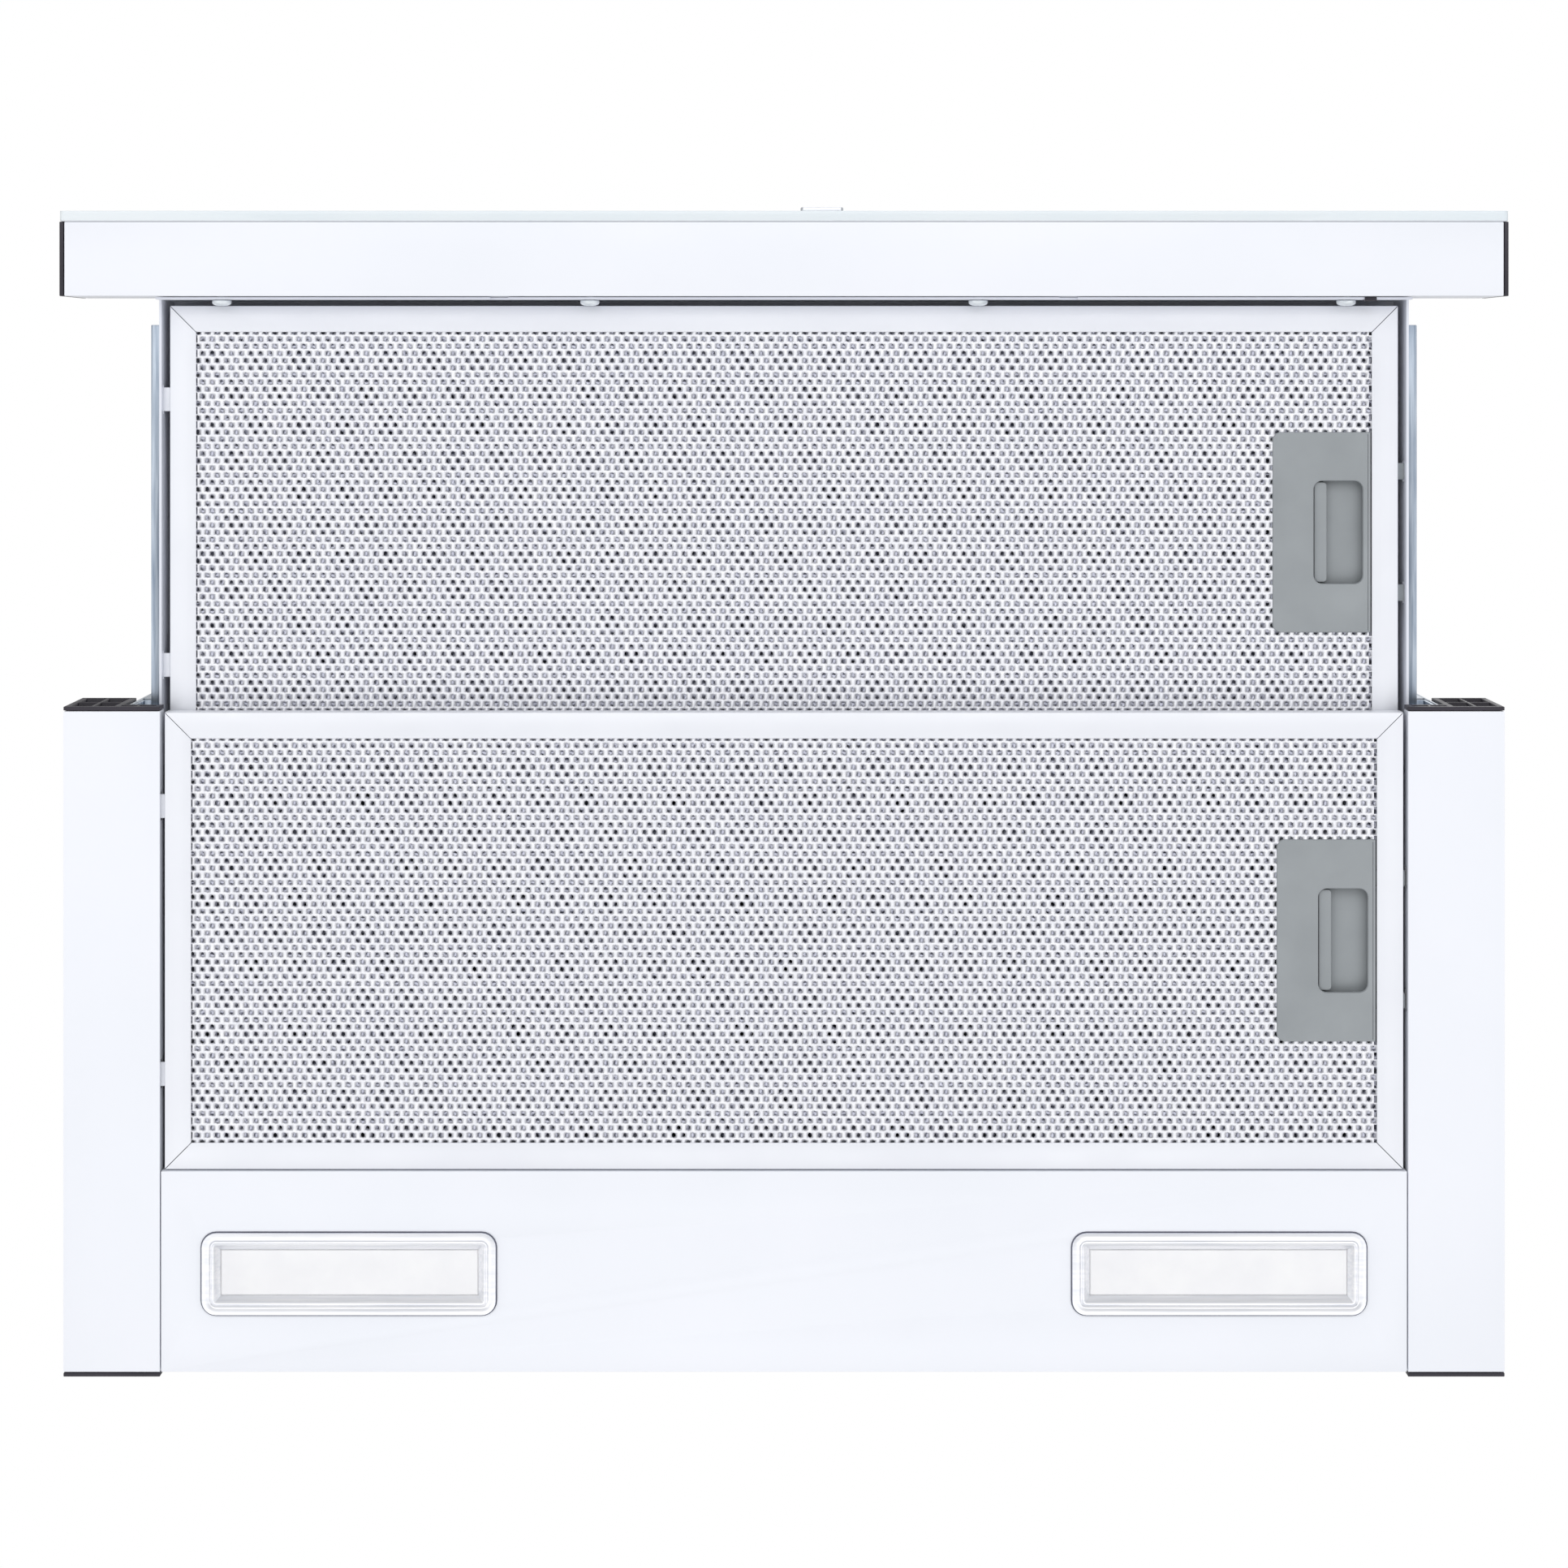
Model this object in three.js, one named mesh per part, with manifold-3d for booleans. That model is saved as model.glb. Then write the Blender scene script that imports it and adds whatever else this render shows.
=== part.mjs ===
// A slide-out cooker hood for a 600 mm wall cabinet, with its drawer pulled out.
// +X is to the right, +Y to the wall and +Z up. The origin is on the wall face at mid width,
// level with the underside of the cabinet. Lengths are in millimetres.
import * as THREE from "three";
import { mergeVertices } from "three/addons/utils/BufferGeometryUtils.js";
import Module from "manifold-3d";

const wasm = await Module();
wasm.setup();

// Driving dimensions
const FRONT_WIDTH = 600; // the glass and the fascia with its end caps
const HOOD_DEPTH = 278; // the wall to the front of the body
const DRAWER_TRAVEL = 168;
const WING_HEIGHT = 36; // the part of the hood that hangs below the cabinet
const WING_WIDTH = 40;
const WING_INSET = 1; // the wings stop short of the front's ends
const WING_LIP = 9; // the inner edge of a wing, beside the filter
const WING_TOP_LIP = 8;
const REAR_PANEL_DEPTH = 83.2;
const REAR_PANEL_SETBACK = 2;
const SHEET = 1; // folded steel of the body
const GAP = 0.3; // between pieces that touch
const CLEARANCE = 0.9; // between the drawer and what it runs over

const FILTER_THICKNESS = 9;
const FILTER_RAIL = 11; // the frame's face, round the mesh
const FILTER_SIDE_GAP = 1.8;
const FILTER_FRONT_GAP = 2.4;
const FILTER_REAR_GAP = 0.6;
const FILTER_RAISE = 0.6; // above the bottom edge of the wings
const FRAME_SHEET = 1.2;
const HOOK_SPACING = 111.4;
const HOOK_WIDTH = 10;
const HOOK_BOTTOM = 2;
const HOOK_TOP = 3.5;
const HOOK_TILT = 1.5; // room above the rear filter's hooks, which rise as it swings down
const TONGUE_SPACING = 51;
const TONGUE_WIDTH = 7;
const TONGUE_HEIGHT = 3.2;
const LATCH_DEPTH = 84;
const LATCH_WIDTH = 41.2;
const LATCH_BOTTOM = 0.6;
const LATCH_SKIN = 1.5;
const LATCH_WALL = 1.2;
const LATCH_WINDOW_WIDTH = 20.5;
const LATCH_WINDOW_DEPTH = 43;
const LATCH_WINDOW_SET_IN = 3.4; // from the latch plate's outer edge
const SLIDER_FLOOR = 1.2;
const SLIDER_DEPTH = 60;
const SLIDER_RIDGE = 5.4;
const LATCH_TRAVEL = 5;

const PAN_HEIGHT = 30;
const PAN_SIDE_GAP = 3.1; // the drawer's side to its filter
const PAN_REAR_MARGIN = 2.8;
const PAN_FRONT_STANDOFF = 1; // the drawer's front wall to the body, when shut
const PAN_FILTER_RAISE = 1.5;
const PAN_SLOT_SPACING = 237;
const PAN_SLOT_WIDTH = 7.6;
const PAN_SLOT_HEIGHT = 5.5; // open at the front wall's lower edge

const SLIDE_THICKNESS = 12.7;
const SLIDE_HEIGHT = 27;
const SLIDE_LENGTH = 250;
const SLIDE_REAR = 14; // the channel's end to the wall
const SLIDE_FRONT = 1.3; // the channel's end to the body's front
const SLIDE_REST = 9.4; // the drawer's rail, back from the body's front when shut
const RAIL_SHEET = 1.2;
const RAIL_HEIGHT = 18.2;
const RAIL_FLANGE = 4.4;
const CAGE_LENGTH = 80;
const CAGE_SHEET = 1;
const BALL_RADIUS = 1.3;
const BALL_PITCH = 22;
const BALLS = 4;

const FASCIA_DEPTH = 30.8;
const FASCIA_DROP = 3; // below the wings
const FASCIA_RISE = 0.5; // above the drawer
const FASCIA_CAP = 1.7;
const GLASS_THICKNESS = 4;
const GLASS_DROP = 0.5; // below the fascia
const GLASS_RISE = 3.5; // above the fascia
const GLASS_GAP = 0.5; // the adhesive between glass and fascia
const GLASS_CORNER = 2;
const BADGE_X = 16;
const BADGE_WIDTH = 18;
const BADGE_HEIGHT = 8;
const BADGE_THICKNESS = 2.2;
const SCREW_PLACES = [-234.5, -81, 81, 234.5];
const SCREW_DROP = 4.6; // below the filter's underside
const SCREW_EDGE = 4.6; // to the lower edge of the drawer's front wall
const SCREW_RADIUS = 2;
const SCREW_LENGTH = 7;
const SCREW_HEAD_RADIUS = 4;
const SCREW_HEAD_HEIGHT = 2.4;

const CONTROLS_X = 205;
const BUTTON_NAMES = ["off", "speed_1", "speed_2", "speed_3", "light"];
const BUTTON_PITCH = 18;
const BUTTON_RADIUS = 4.5;
const BUTTON_LENGTH = 9.5;
const BUTTON_PROUD = 0.4;
const BUTTON_TRAVEL = 1.5;
const BUTTON_FLANGE = 0.8; // the flange that keeps a button in
const BEZEL_HEIGHT = 14;
const BOARD_THICKNESS = 1.6;
const SWITCH_SIZE = 6;
const SWITCH_HEIGHT = 3.2;

const LAMP_X = 180.5;
const LAMP_Y = -42.8;
const LAMP_WIDTH = 122;
const LAMP_DEPTH = 34;
const LAMP_CORNER = 6;
const LAMP_FLANGE = 1.2;
const LAMP_RIM = 7.4; // the flange's face, round the window
const LAMP_SKIRT_INSET = 2.5;
const LAMP_SKIRT_HEIGHT = 8;
const LAMP_SKIRT_WALL = 1.5;
const LENS_RAISE = 2.2; // above the panel's underside
const LENS_THICKNESS = 2;
const LEDS = 6;

const WHEEL_RADIUS = 58;
const WHEEL_HALF = 50; // half its width
const WHEEL_DISC = 4;
const WHEEL_RING = 6;
const WHEEL_RING_WIDTH = 2.5;
const WHEEL_BLADES = 24;
const BLADE_HEIGHT = 11.5;
const BLADE_SHEET = 0.8;
const BLADE_BEND = 9.65;
const HUB_RADIUS = 9;
const HUB_HALF = 7;
const SHAFT_RADIUS = 4;
const SCROLL_CLEARANCE = 3;
const SCROLL_GROWTH = 17;
const SCROLL_CUTOFF = 75; // degrees above the direction of the wall
const CASING_WALL = 1.5;
const CASING_SIDE = 4; // inside the casing, beside the wheel
const INLET_OVERLAP = 8; // the inlet is smaller than the wheel
const BLOWER_TO_WALL = 38.5;
const BLOWER_OVER_PAN = 6;
const BLOWER_UNDER_TOP = 3.5;
const MOTOR_RADIUS = 36;
const MOTOR_LENGTH = 48;
const MOTOR_TO_DISC = 10;
const BRACKET_THICKNESS = 3;
const BRACKET_RING = 5;
const BRACKET_ARM = 12;

const DUCT_RADIUS = 75; // a 150 mm duct fits over it
const DUCT_WALL = 2;
const DUCT_HEIGHT = 30;
const DUCT_FLANGE = 9;
const DUCT_FLANGE_THICKNESS = 3;
const DUCT_TO_WALL = 4;
const LEDGE_WIDTH = 3;
const LEDGE_TOP = 10;
const LEDGE_THICKNESS = 2;
const FLAP_THICKNESS = 1.5;
const FLAP_EDGE = 1.5; // the flap's edge to the duct
const FLAP_ROD_RADIUS = 1.5;
const FLAP_ROD_X = 2.8;
const FLAP_BAR = 4;

const BODY_SETBACK = 1; // the housing's front, behind the wings' front
const SLOPE_DEPTH = 60;
const SLOPE_BOTTOM = 62;
const SCREW_HOLE = 2.5;
const CAP_PLATE = 1.6;
const CAP_PLUG = 8;
const CAP_RIB = 1.2;
const REAR_PANEL_FLANGE = 8;
const GLAND_X = 180;
const GLAND_Y = -40;
const GLAND_RADIUS = 8;
const CABLE_RADIUS = 4;

// Places that follow from them
const BOTTOM = -WING_HEIGHT;
const WING_OUTER = FRONT_WIDTH / 2 - WING_INSET;
const OPENING_HALF = WING_OUTER - WING_WIDTH;
const LIP_TOP = BOTTOM + WING_LIP;
const PANEL_FRONT = -(REAR_PANEL_SETBACK + REAR_PANEL_DEPTH);
const FILTER_HALF = OPENING_HALF - FILTER_SIDE_GAP;
const REAR_FILTER_FRONT = -HOOD_DEPTH + FILTER_FRONT_GAP;
const REAR_FILTER_BACK = PANEL_FRONT - FILTER_REAR_GAP;
const REAR_FILTER_BOTTOM = BOTTOM + FILTER_RAISE;
const FILTER_DEPTH = REAR_FILTER_BACK - REAR_FILTER_FRONT;
const WINDOW_HALF = FILTER_HALF - FILTER_RAIL;
const SLIDER_TOP = FILTER_THICKNESS - FRAME_SHEET - 2 * GAP;
const SLIDER_BOTTOM = SLIDER_TOP - SLIDER_FLOOR;
const TONGUE_TOP = SLIDER_BOTTOM + SLIDER_FLOOR / 2;
const TONGUE_BOTTOM = TONGUE_TOP - TONGUE_HEIGHT;
const LATCH_RIGHT = WINDOW_HALF - GAP;
const LATCH_LEFT = LATCH_RIGHT - LATCH_WIDTH;

const PAN_BOTTOM = REAR_FILTER_BOTTOM + FILTER_THICKNESS + CLEARANCE;
const PAN_TOP = PAN_BOTTOM + PAN_HEIGHT;
const PAN_INNER = FILTER_HALF + PAN_SIDE_GAP;
const PAN_OUTER = PAN_INNER + SHEET;
const PAN_FACE = -HOOD_DEPTH - PAN_FRONT_STANDOFF; // the inner face of its front wall
const FRONT_FILTER_FRONT = PAN_FACE + FILTER_FRONT_GAP;
const FRONT_FILTER_BOTTOM = PAN_BOTTOM + PAN_FILTER_RAISE;
const SCREW_Z = FRONT_FILTER_BOTTOM - SCREW_DROP;
const PAN_FRONT_BOTTOM = SCREW_Z - SCREW_EDGE;
const PAN_BACK = FRONT_FILTER_FRONT + FILTER_DEPTH + PAN_REAR_MARGIN;
const RAIL_FACE = PAN_OUTER + GAP;
const SLIDE_Z = PAN_TOP - GAP - SLIDE_HEIGHT / 2 - GAP;
const SIDE_INNER = RAIL_FACE + SLIDE_THICKNESS + GAP;
const SIDE_OUTER = SIDE_INNER + SHEET;
const WING_STEP = SIDE_OUTER + GAP;
const SIDE_BOTTOM = LIP_TOP + 1;

const FASCIA_BACK = PAN_FACE - SHEET - GAP;
const FASCIA_FRONT = FASCIA_BACK - FASCIA_DEPTH;
const FASCIA_BOTTOM = BOTTOM - FASCIA_DROP;
const FASCIA_TOP = PAN_TOP + FASCIA_RISE;
const FASCIA_END = FRONT_WIDTH / 2 - FASCIA_CAP;
const GLASS_BOTTOM = FASCIA_BOTTOM - GLASS_DROP;
const GLASS_TOP = FASCIA_TOP + GLASS_RISE;
const CONTROLS_Z = (GLASS_BOTTOM + GLASS_TOP) / 2; // the badge is level with the buttons
const GLASS_BACK = FASCIA_FRONT - GLASS_GAP;
const GLASS_FRONT = GLASS_BACK - GLASS_THICKNESS;
const BUTTON_ROW = (BUTTON_NAMES.length - 1) * BUTTON_PITCH;
const BEZEL_WIDTH = BUTTON_ROW + 24;
const BUTTON_BACK = GLASS_FRONT - BUTTON_PROUD + BUTTON_LENGTH;
const SWITCH_TOP = BUTTON_BACK + BUTTON_TRAVEL + GAP;

const SCROLL_START = WHEEL_RADIUS + SCROLL_CLEARANCE;
const SCROLL_END = SCROLL_START + SCROLL_GROWTH;
const CUTOFF = THREE.MathUtils.degToRad(SCROLL_CUTOFF);
const CUTOFF_Y = SCROLL_START * Math.cos(CUTOFF);
const LENS_BOTTOM = BOTTOM + LENS_RAISE;
const AXIS_Y = -(BLOWER_TO_WALL + CASING_WALL + SCROLL_END);
const AXIS_Z = PAN_TOP + BLOWER_OVER_PAN + CASING_WALL + scrollRadius((3 * Math.PI) / 2);
const HOUSING_TOP = AXIS_Z + scrollRadius(Math.PI / 2) + CASING_WALL + BLOWER_UNDER_TOP;
const HOUSING_FRONT = -HOOD_DEPTH + BODY_SETBACK;
const UNDER_TOP = HOUSING_TOP - SHEET - GAP;
const CASING_HALF = WHEEL_HALF + CASING_SIDE + CASING_WALL;
const INLET_RADIUS = WHEEL_RADIUS - INLET_OVERLAP;
const COLLAR_Y = -(DUCT_RADIUS + DUCT_FLANGE + DUCT_TO_WALL);
const COLLAR_BOTTOM = HOUSING_TOP + GAP;

// Finishes
const WHITE_ENAMEL = { color: 0xf1f4fb, roughness: 0.35, metalness: 0 };
const GALVANISED = { color: 0xb9c2c8, roughness: 0.4, metalness: 0.9 };
const ALUMINIUM = { color: 0xd9dbe0, roughness: 0.4, metalness: 1 };
const BLACK_PLASTIC = { color: 0x2b2830, roughness: 0.5, metalness: 0 };
const GREY_PLASTIC = { color: 0x9fa8a7, roughness: 0.55, metalness: 0 };
const LIGHT_PLASTIC = { color: 0xd4d6da, roughness: 0.45, metalness: 0 };
const SAFETY_GLASS = { color: 0xd5eef0, roughness: 0.05, metalness: 0 };
const DIFFUSER = { color: 0xf7f7f4, roughness: 0.5, metalness: 0 };
const SATIN_METAL = { color: 0xc9ccd2, roughness: 0.35, metalness: 1 };
const CIRCUIT_BOARD = { color: 0x2f5a3f, roughness: 0.6, metalness: 0 };
const MOTOR_STEEL = { color: 0x8d9095, roughness: 0.45, metalness: 0.9 };

// A closed geometry as a solid that can be joined and cut.
function solidOf(geometry) {
  const bare = geometry.index ? geometry.toNonIndexed() : geometry;
  bare.deleteAttribute("normal");
  bare.deleteAttribute("uv");
  const merged = mergeVertices(bare, 1e-4);
  const shape = new wasm.Mesh({
    numProp: 3,
    vertProperties: merged.attributes.position.array,
    triVerts: new Uint32Array(merged.index.array),
  });
  return new wasm.Manifold(shape);
}

function geometryOf(solid) {
  const shape = solid.getMesh();
  const geometry = new THREE.BufferGeometry();
  geometry.setAttribute("position", new THREE.BufferAttribute(shape.vertProperties, 3));
  geometry.setIndex(new THREE.BufferAttribute(shape.triVerts, 1));
  return geometry;
}

function box(x0, x1, y0, y1, z0, z1) {
  const geometry = new THREE.BoxGeometry(x1 - x0, y1 - y0, z1 - z0);
  geometry.translate((x0 + x1) / 2, (y0 + y1) / 2, (z0 + z1) / 2);
  return solidOf(geometry);
}

// The directions of an outline's two coordinates and of its depth, for a prism along each axis.
const PRISM_AXES = {
  x: [new THREE.Vector3(0, 1, 0), new THREE.Vector3(0, 0, 1), new THREE.Vector3(1, 0, 0)],
  y: [new THREE.Vector3(1, 0, 0), new THREE.Vector3(0, 0, 1), new THREE.Vector3(0, -1, 0)],
  z: [new THREE.Vector3(1, 0, 0), new THREE.Vector3(0, 1, 0), new THREE.Vector3(0, 0, 1)],
};

// An outline of points in the other two axes, drawn out along one axis.
function prism(axis, outline, from, to) {
  const shape = new THREE.Shape(outline.map(([u, v]) => new THREE.Vector2(u, v)));
  const geometry = new THREE.ExtrudeGeometry(shape, { depth: to - from, bevelEnabled: false });
  geometry.translate(0, 0, axis === "y" ? -to : from);
  geometry.applyMatrix4(new THREE.Matrix4().makeBasis(...PRISM_AXES[axis]));
  return solidOf(geometry);
}

// Points along an arc, between two angles in degrees.
function arc(u, v, radius, from, to, steps) {
  return Array.from({ length: steps + 1 }, (_, i) => {
    const angle = THREE.MathUtils.degToRad(from + ((to - from) * i) / steps);
    return [u + radius * Math.cos(angle), v + radius * Math.sin(angle)];
  });
}

function roundedRectangle(u0, u1, v0, v1, radius) {
  const steps = 4;
  return [
    ...arc(u1 - radius, v1 - radius, radius, 0, 90, steps),
    ...arc(u0 + radius, v1 - radius, radius, 90, 180, steps),
    ...arc(u0 + radius, v0 + radius, radius, 180, 270, steps),
    ...arc(u1 - radius, v0 + radius, radius, 270, 360, steps),
  ];
}

function rod(axis, [u, v], radius, from, to, sides = 24) {
  return prism(axis, arc(u, v, radius, 0, 360, sides).slice(1), from, to);
}

function tube(axis, centre, inner, outer, from, to, sides = 48) {
  const bore = rod(axis, centre, inner, from - 1, to + 1, sides);
  return rod(axis, centre, outer, from, to, sides).subtract(bore);
}

// The closed outline of a sheet that is folded along a path and lies on the path's left.
function foldedSheet(path, thickness) {
  const normal = ([u0, v0], [u1, v1]) => {
    const length = Math.hypot(u1 - u0, v1 - v0);
    return [-(v1 - v0) / length, (u1 - u0) / length];
  };
  const normals = path.slice(1).map((point, i) => normal(path[i], point));
  const inner = path.map(([u, v], i) => {
    const before = normals[Math.max(i - 1, 0)];
    const after = normals[Math.min(i, normals.length - 1)];
    const reach = thickness / (1 + before[0] * after[0] + before[1] * after[1]);
    return [u + reach * (before[0] + after[0]), v + reach * (before[1] + after[1])];
  });
  return [...path, ...inner.reverse()];
}

function joined(solids) {
  return solids.reduce((whole, solid) => whole.add(solid));
}

function cut(solid, tools) {
  return tools.reduce((rest, tool) => rest.subtract(tool), solid);
}

// Evenly spaced places, centred on zero.
function spaced(count, pitch) {
  return Array.from({ length: count }, (_, i) => (i - (count - 1) / 2) * pitch);
}

function add(parent, name, solid, finish) {
  const mesh = new THREE.Mesh(geometryOf(solid), new THREE.MeshStandardMaterial(finish));
  mesh.name = name;
  parent.add(mesh);
  return mesh;
}

// A right-hand piece and its mirror image on the left.
function addPair(parent, name, solid, finish) {
  add(parent, name + "_right", solid, finish);
  add(parent, name + "_left", solid, finish).scale.x = -1;
}

// The blower's scroll

function scrollRadius(angle) {
  return SCROLL_START + (SCROLL_GROWTH * (angle - CUTOFF)) / (2 * Math.PI - CUTOFF);
}

// It opens from the cut-off, over the front and under the wheel, to a straight discharge upwards.
function scrollOutline(wall, top) {
  const steps = 28;
  const start = Math.acos((CUTOFF_Y - wall) / (SCROLL_START + wall));
  const points = Array.from({ length: steps + 1 }, (_, i) => {
    const angle = start + ((2 * Math.PI - start) * i) / steps;
    const radius = scrollRadius(angle) + wall;
    return [AXIS_Y + radius * Math.cos(angle), AXIS_Z + radius * Math.sin(angle)];
  });
  return [...points, [AXIS_Y + SCROLL_END + wall, top], [AXIS_Y + CUTOFF_Y - wall, top]];
}

// Body

function housingShell() {
  const half = SIDE_INNER - GAP;
  const frontBottom = PAN_TOP + BLOWER_OVER_PAN - 2;
  const path = [
    [0, SIDE_BOTTOM],
    [0, HOUSING_TOP],
    [HOUSING_FRONT + SLOPE_DEPTH, HOUSING_TOP],
    [HOUSING_FRONT, SLOPE_BOTTOM],
    [HOUSING_FRONT, frontBottom],
  ];
  const skin = prism("x", foldedSheet(path, SHEET), -half, half);
  const lowHalf = OPENING_HALF - GAP;
  const lowBack = box(
    -lowHalf,
    lowHalf,
    -SHEET,
    0,
    BOTTOM + REAR_PANEL_FLANGE,
    SIDE_BOTTOM + 1,
  );
  const inside = CASING_HALF - CASING_WALL;
  const outlet = box(
    -inside,
    inside,
    AXIS_Y + CUTOFF_Y,
    AXIS_Y + SCROLL_END,
    HOUSING_TOP - 2 * SHEET,
    HOUSING_TOP + 1,
  );
  const glandHole = rod("z", [GLAND_X, GLAND_Y], GLAND_RADIUS, HOUSING_TOP - 5, HOUSING_TOP + 1);
  return cut(skin.add(lowBack), [outlet, glandHole, ...keyholes()]);
}

// Two holes in the back hang the body on wall screws.
function keyholes() {
  const [x, z, head, neck, drop] = [150, 96, 5.5, 2.6, 11];
  return [-x, x].flatMap((place) => [
    rod("y", [place, z], head, -2 * SHEET, 1),
    box(place - neck, place + neck, -2 * SHEET, 1, z, z + drop),
  ]);
}

function sidePanel() {
  const outline = [
    [HOUSING_FRONT, SIDE_BOTTOM],
    [0, SIDE_BOTTOM],
    [0, HOUSING_TOP],
    [HOUSING_FRONT + SLOPE_DEPTH, HOUSING_TOP],
    [HOUSING_FRONT, SLOPE_BOTTOM],
  ];
  const plate = prism("x", outline, SIDE_INNER, SIDE_OUTER);
  const edge = 22;
  const holes = [
    [HOUSING_FRONT + edge, SLOPE_BOTTOM - edge],
    [-edge, SLOPE_BOTTOM - edge],
    [-edge, HOUSING_TOP - edge],
    [HOUSING_FRONT + SLOPE_DEPTH, HOUSING_TOP - edge],
  ];
  return cut(
    plate,
    holes.map((place) => rod("x", place, SCREW_HOLE, SIDE_INNER - 1, SIDE_OUTER + 1, 12)),
  );
}

function rearPanel() {
  const half = OPENING_HALF - GAP - 0.2;
  const back = -REAR_PANEL_SETBACK;
  const tray = box(-half, half, PANEL_FRONT, back, BOTTOM, BOTTOM + REAR_PANEL_FLANGE);
  const inside = box(
    -half + SHEET,
    half - SHEET,
    PANEL_FRONT + SHEET,
    back - SHEET,
    BOTTOM + SHEET,
    BOTTOM + REAR_PANEL_FLANGE + 1,
  );
  const lampHole = lampOutline(LAMP_SKIRT_INSET - GAP);
  const openings = [-LAMP_X, LAMP_X].map((x) => {
    const moved = lampHole.map(([u, v]) => [u + x, v + LAMP_Y]);
    return prism("z", moved, BOTTOM - 1, BOTTOM + SHEET + 1);
  });
  return cut(tray, [inside, ...openings]);
}

function wing(lipSlots) {
  const path = [
    [OPENING_HALF, LIP_TOP],
    [OPENING_HALF, BOTTOM],
    [WING_OUTER, BOTTOM],
    [WING_OUTER, 0],
    [WING_STEP, 0],
    [WING_STEP, -WING_TOP_LIP],
  ];
  const end = CAP_PLATE + GAP;
  const skin = prism("y", foldedSheet(path, SHEET), -HOOD_DEPTH + end, -end);
  return cut(skin, lipSlots);
}

// A slot through the side wall at x, for a filter's hook or tongue.
function wallSlot(x, y, width, bottom, top) {
  const half = width / 2 + 1;
  return box(x - 1, x + SHEET + 1, y - half, y + half, bottom - GAP, top + GAP);
}

function filterSlots(x, filterY, filterBottom, spacing, width, bottom, top) {
  return [-spacing / 2, spacing / 2].map((y) =>
    wallSlot(x, filterY + y, width, filterBottom + bottom, filterBottom + top),
  );
}

// A wing's end, drawn in by an inset all round.
function capOutline(inset) {
  return [
    [OPENING_HALF + inset, BOTTOM + inset],
    [WING_OUTER - inset, BOTTOM + inset],
    [WING_OUTER - inset, -inset],
    [WING_STEP + inset, -inset],
    [WING_STEP + inset, LIP_TOP - inset],
    [OPENING_HALF + inset, LIP_TOP - inset],
  ];
}

// Pockets between ribs, open towards -Y.
function pockets(x0, x1, z0, z1, columns, rows, depth) {
  const width = (x1 - x0 - (columns - 1) * CAP_RIB) / columns;
  const height = (z1 - z0 - (rows - 1) * CAP_RIB) / rows;
  const cells = [];
  for (let column = 0; column < columns; column++) {
    for (let row = 0; row < rows; row++) {
      const x = x0 + column * (width + CAP_RIB);
      const z = z0 + row * (height + CAP_RIB);
      cells.push(box(x, x + width, -1, depth, z, z + height));
    }
  }
  return cells;
}

function wingCap() {
  const inset = SHEET + GAP;
  const inner = inset + CAP_RIB;
  const plate = prism("y", capOutline(0), 0, CAP_PLATE);
  const plug = prism("y", capOutline(inset), 0, CAP_PLATE + CAP_PLUG);
  const depth = CAP_PLATE + CAP_PLUG - CAP_RIB;
  const tall = [WING_STEP + inner, WING_OUTER - inner, BOTTOM + inner, -inner];
  const low = [OPENING_HALF + inner, WING_STEP, BOTTOM + inner, LIP_TOP - inner];
  return cut(plate.add(plug), [...pockets(...tall, 2, 2, depth), ...pockets(...low, 2, 1, depth)]);
}

// Lamps

function lampOutline(inset) {
  const halfWidth = LAMP_WIDTH / 2 - inset;
  const halfDepth = LAMP_DEPTH / 2 - inset;
  const corner = Math.max(LAMP_CORNER - inset, 1);
  return roundedRectangle(-halfWidth, halfWidth, -halfDepth, halfDepth, corner);
}

function lampBezel() {
  const flangeTop = BOTTOM - GAP;
  const flangeBottom = flangeTop - LAMP_FLANGE;
  const skirtTop = BOTTOM + LAMP_SKIRT_HEIGHT;
  const flange = prism("z", lampOutline(0), flangeBottom, flangeTop);
  const skirt = prism("z", lampOutline(LAMP_SKIRT_INSET), flangeBottom, skirtTop);
  const seatInset = LAMP_SKIRT_INSET + LAMP_SKIRT_WALL;
  const seat = prism("z", lampOutline(seatInset), LENS_BOTTOM - GAP, skirtTop + 1);
  const window = prism("z", lampOutline(LAMP_RIM), flangeBottom - 1, skirtTop);
  return flange.add(skirt).subtract(seat).subtract(window);
}

function lampLens() {
  const inset = LAMP_SKIRT_INSET + LAMP_SKIRT_WALL + GAP;
  return prism("z", lampOutline(inset), LENS_BOTTOM, LENS_BOTTOM + LENS_THICKNESS);
}

function lampBoard() {
  const inset = LAMP_SKIRT_INSET + LAMP_SKIRT_WALL + 2;
  const [ledHalf, ledHeight] = [1.8, 0.8];
  const ledBottom = LENS_BOTTOM + LENS_THICKNESS + GAP;
  const boardBottom = ledBottom + ledHeight;
  const board = prism("z", lampOutline(inset), boardBottom, boardBottom + BOARD_THICKNESS);
  const pitch = (LAMP_WIDTH - 2 * inset) / LEDS;
  const leds = spaced(LEDS, pitch).map((x) =>
    box(x - ledHalf, x + ledHalf, -ledHalf, ledHalf, ledBottom, boardBottom + 0.5),
  );
  return joined([board, ...leds]);
}

// Slides: outlines in the distance from the drawer's side and the height from the slide's middle.

function slideSection(path, thickness, length) {
  const outline = foldedSheet(path, thickness);
  const placed = outline.map(([w, v]) => [RAIL_FACE + w, SLIDE_Z + v]);
  return prism("y", placed, 0, length);
}

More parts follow.
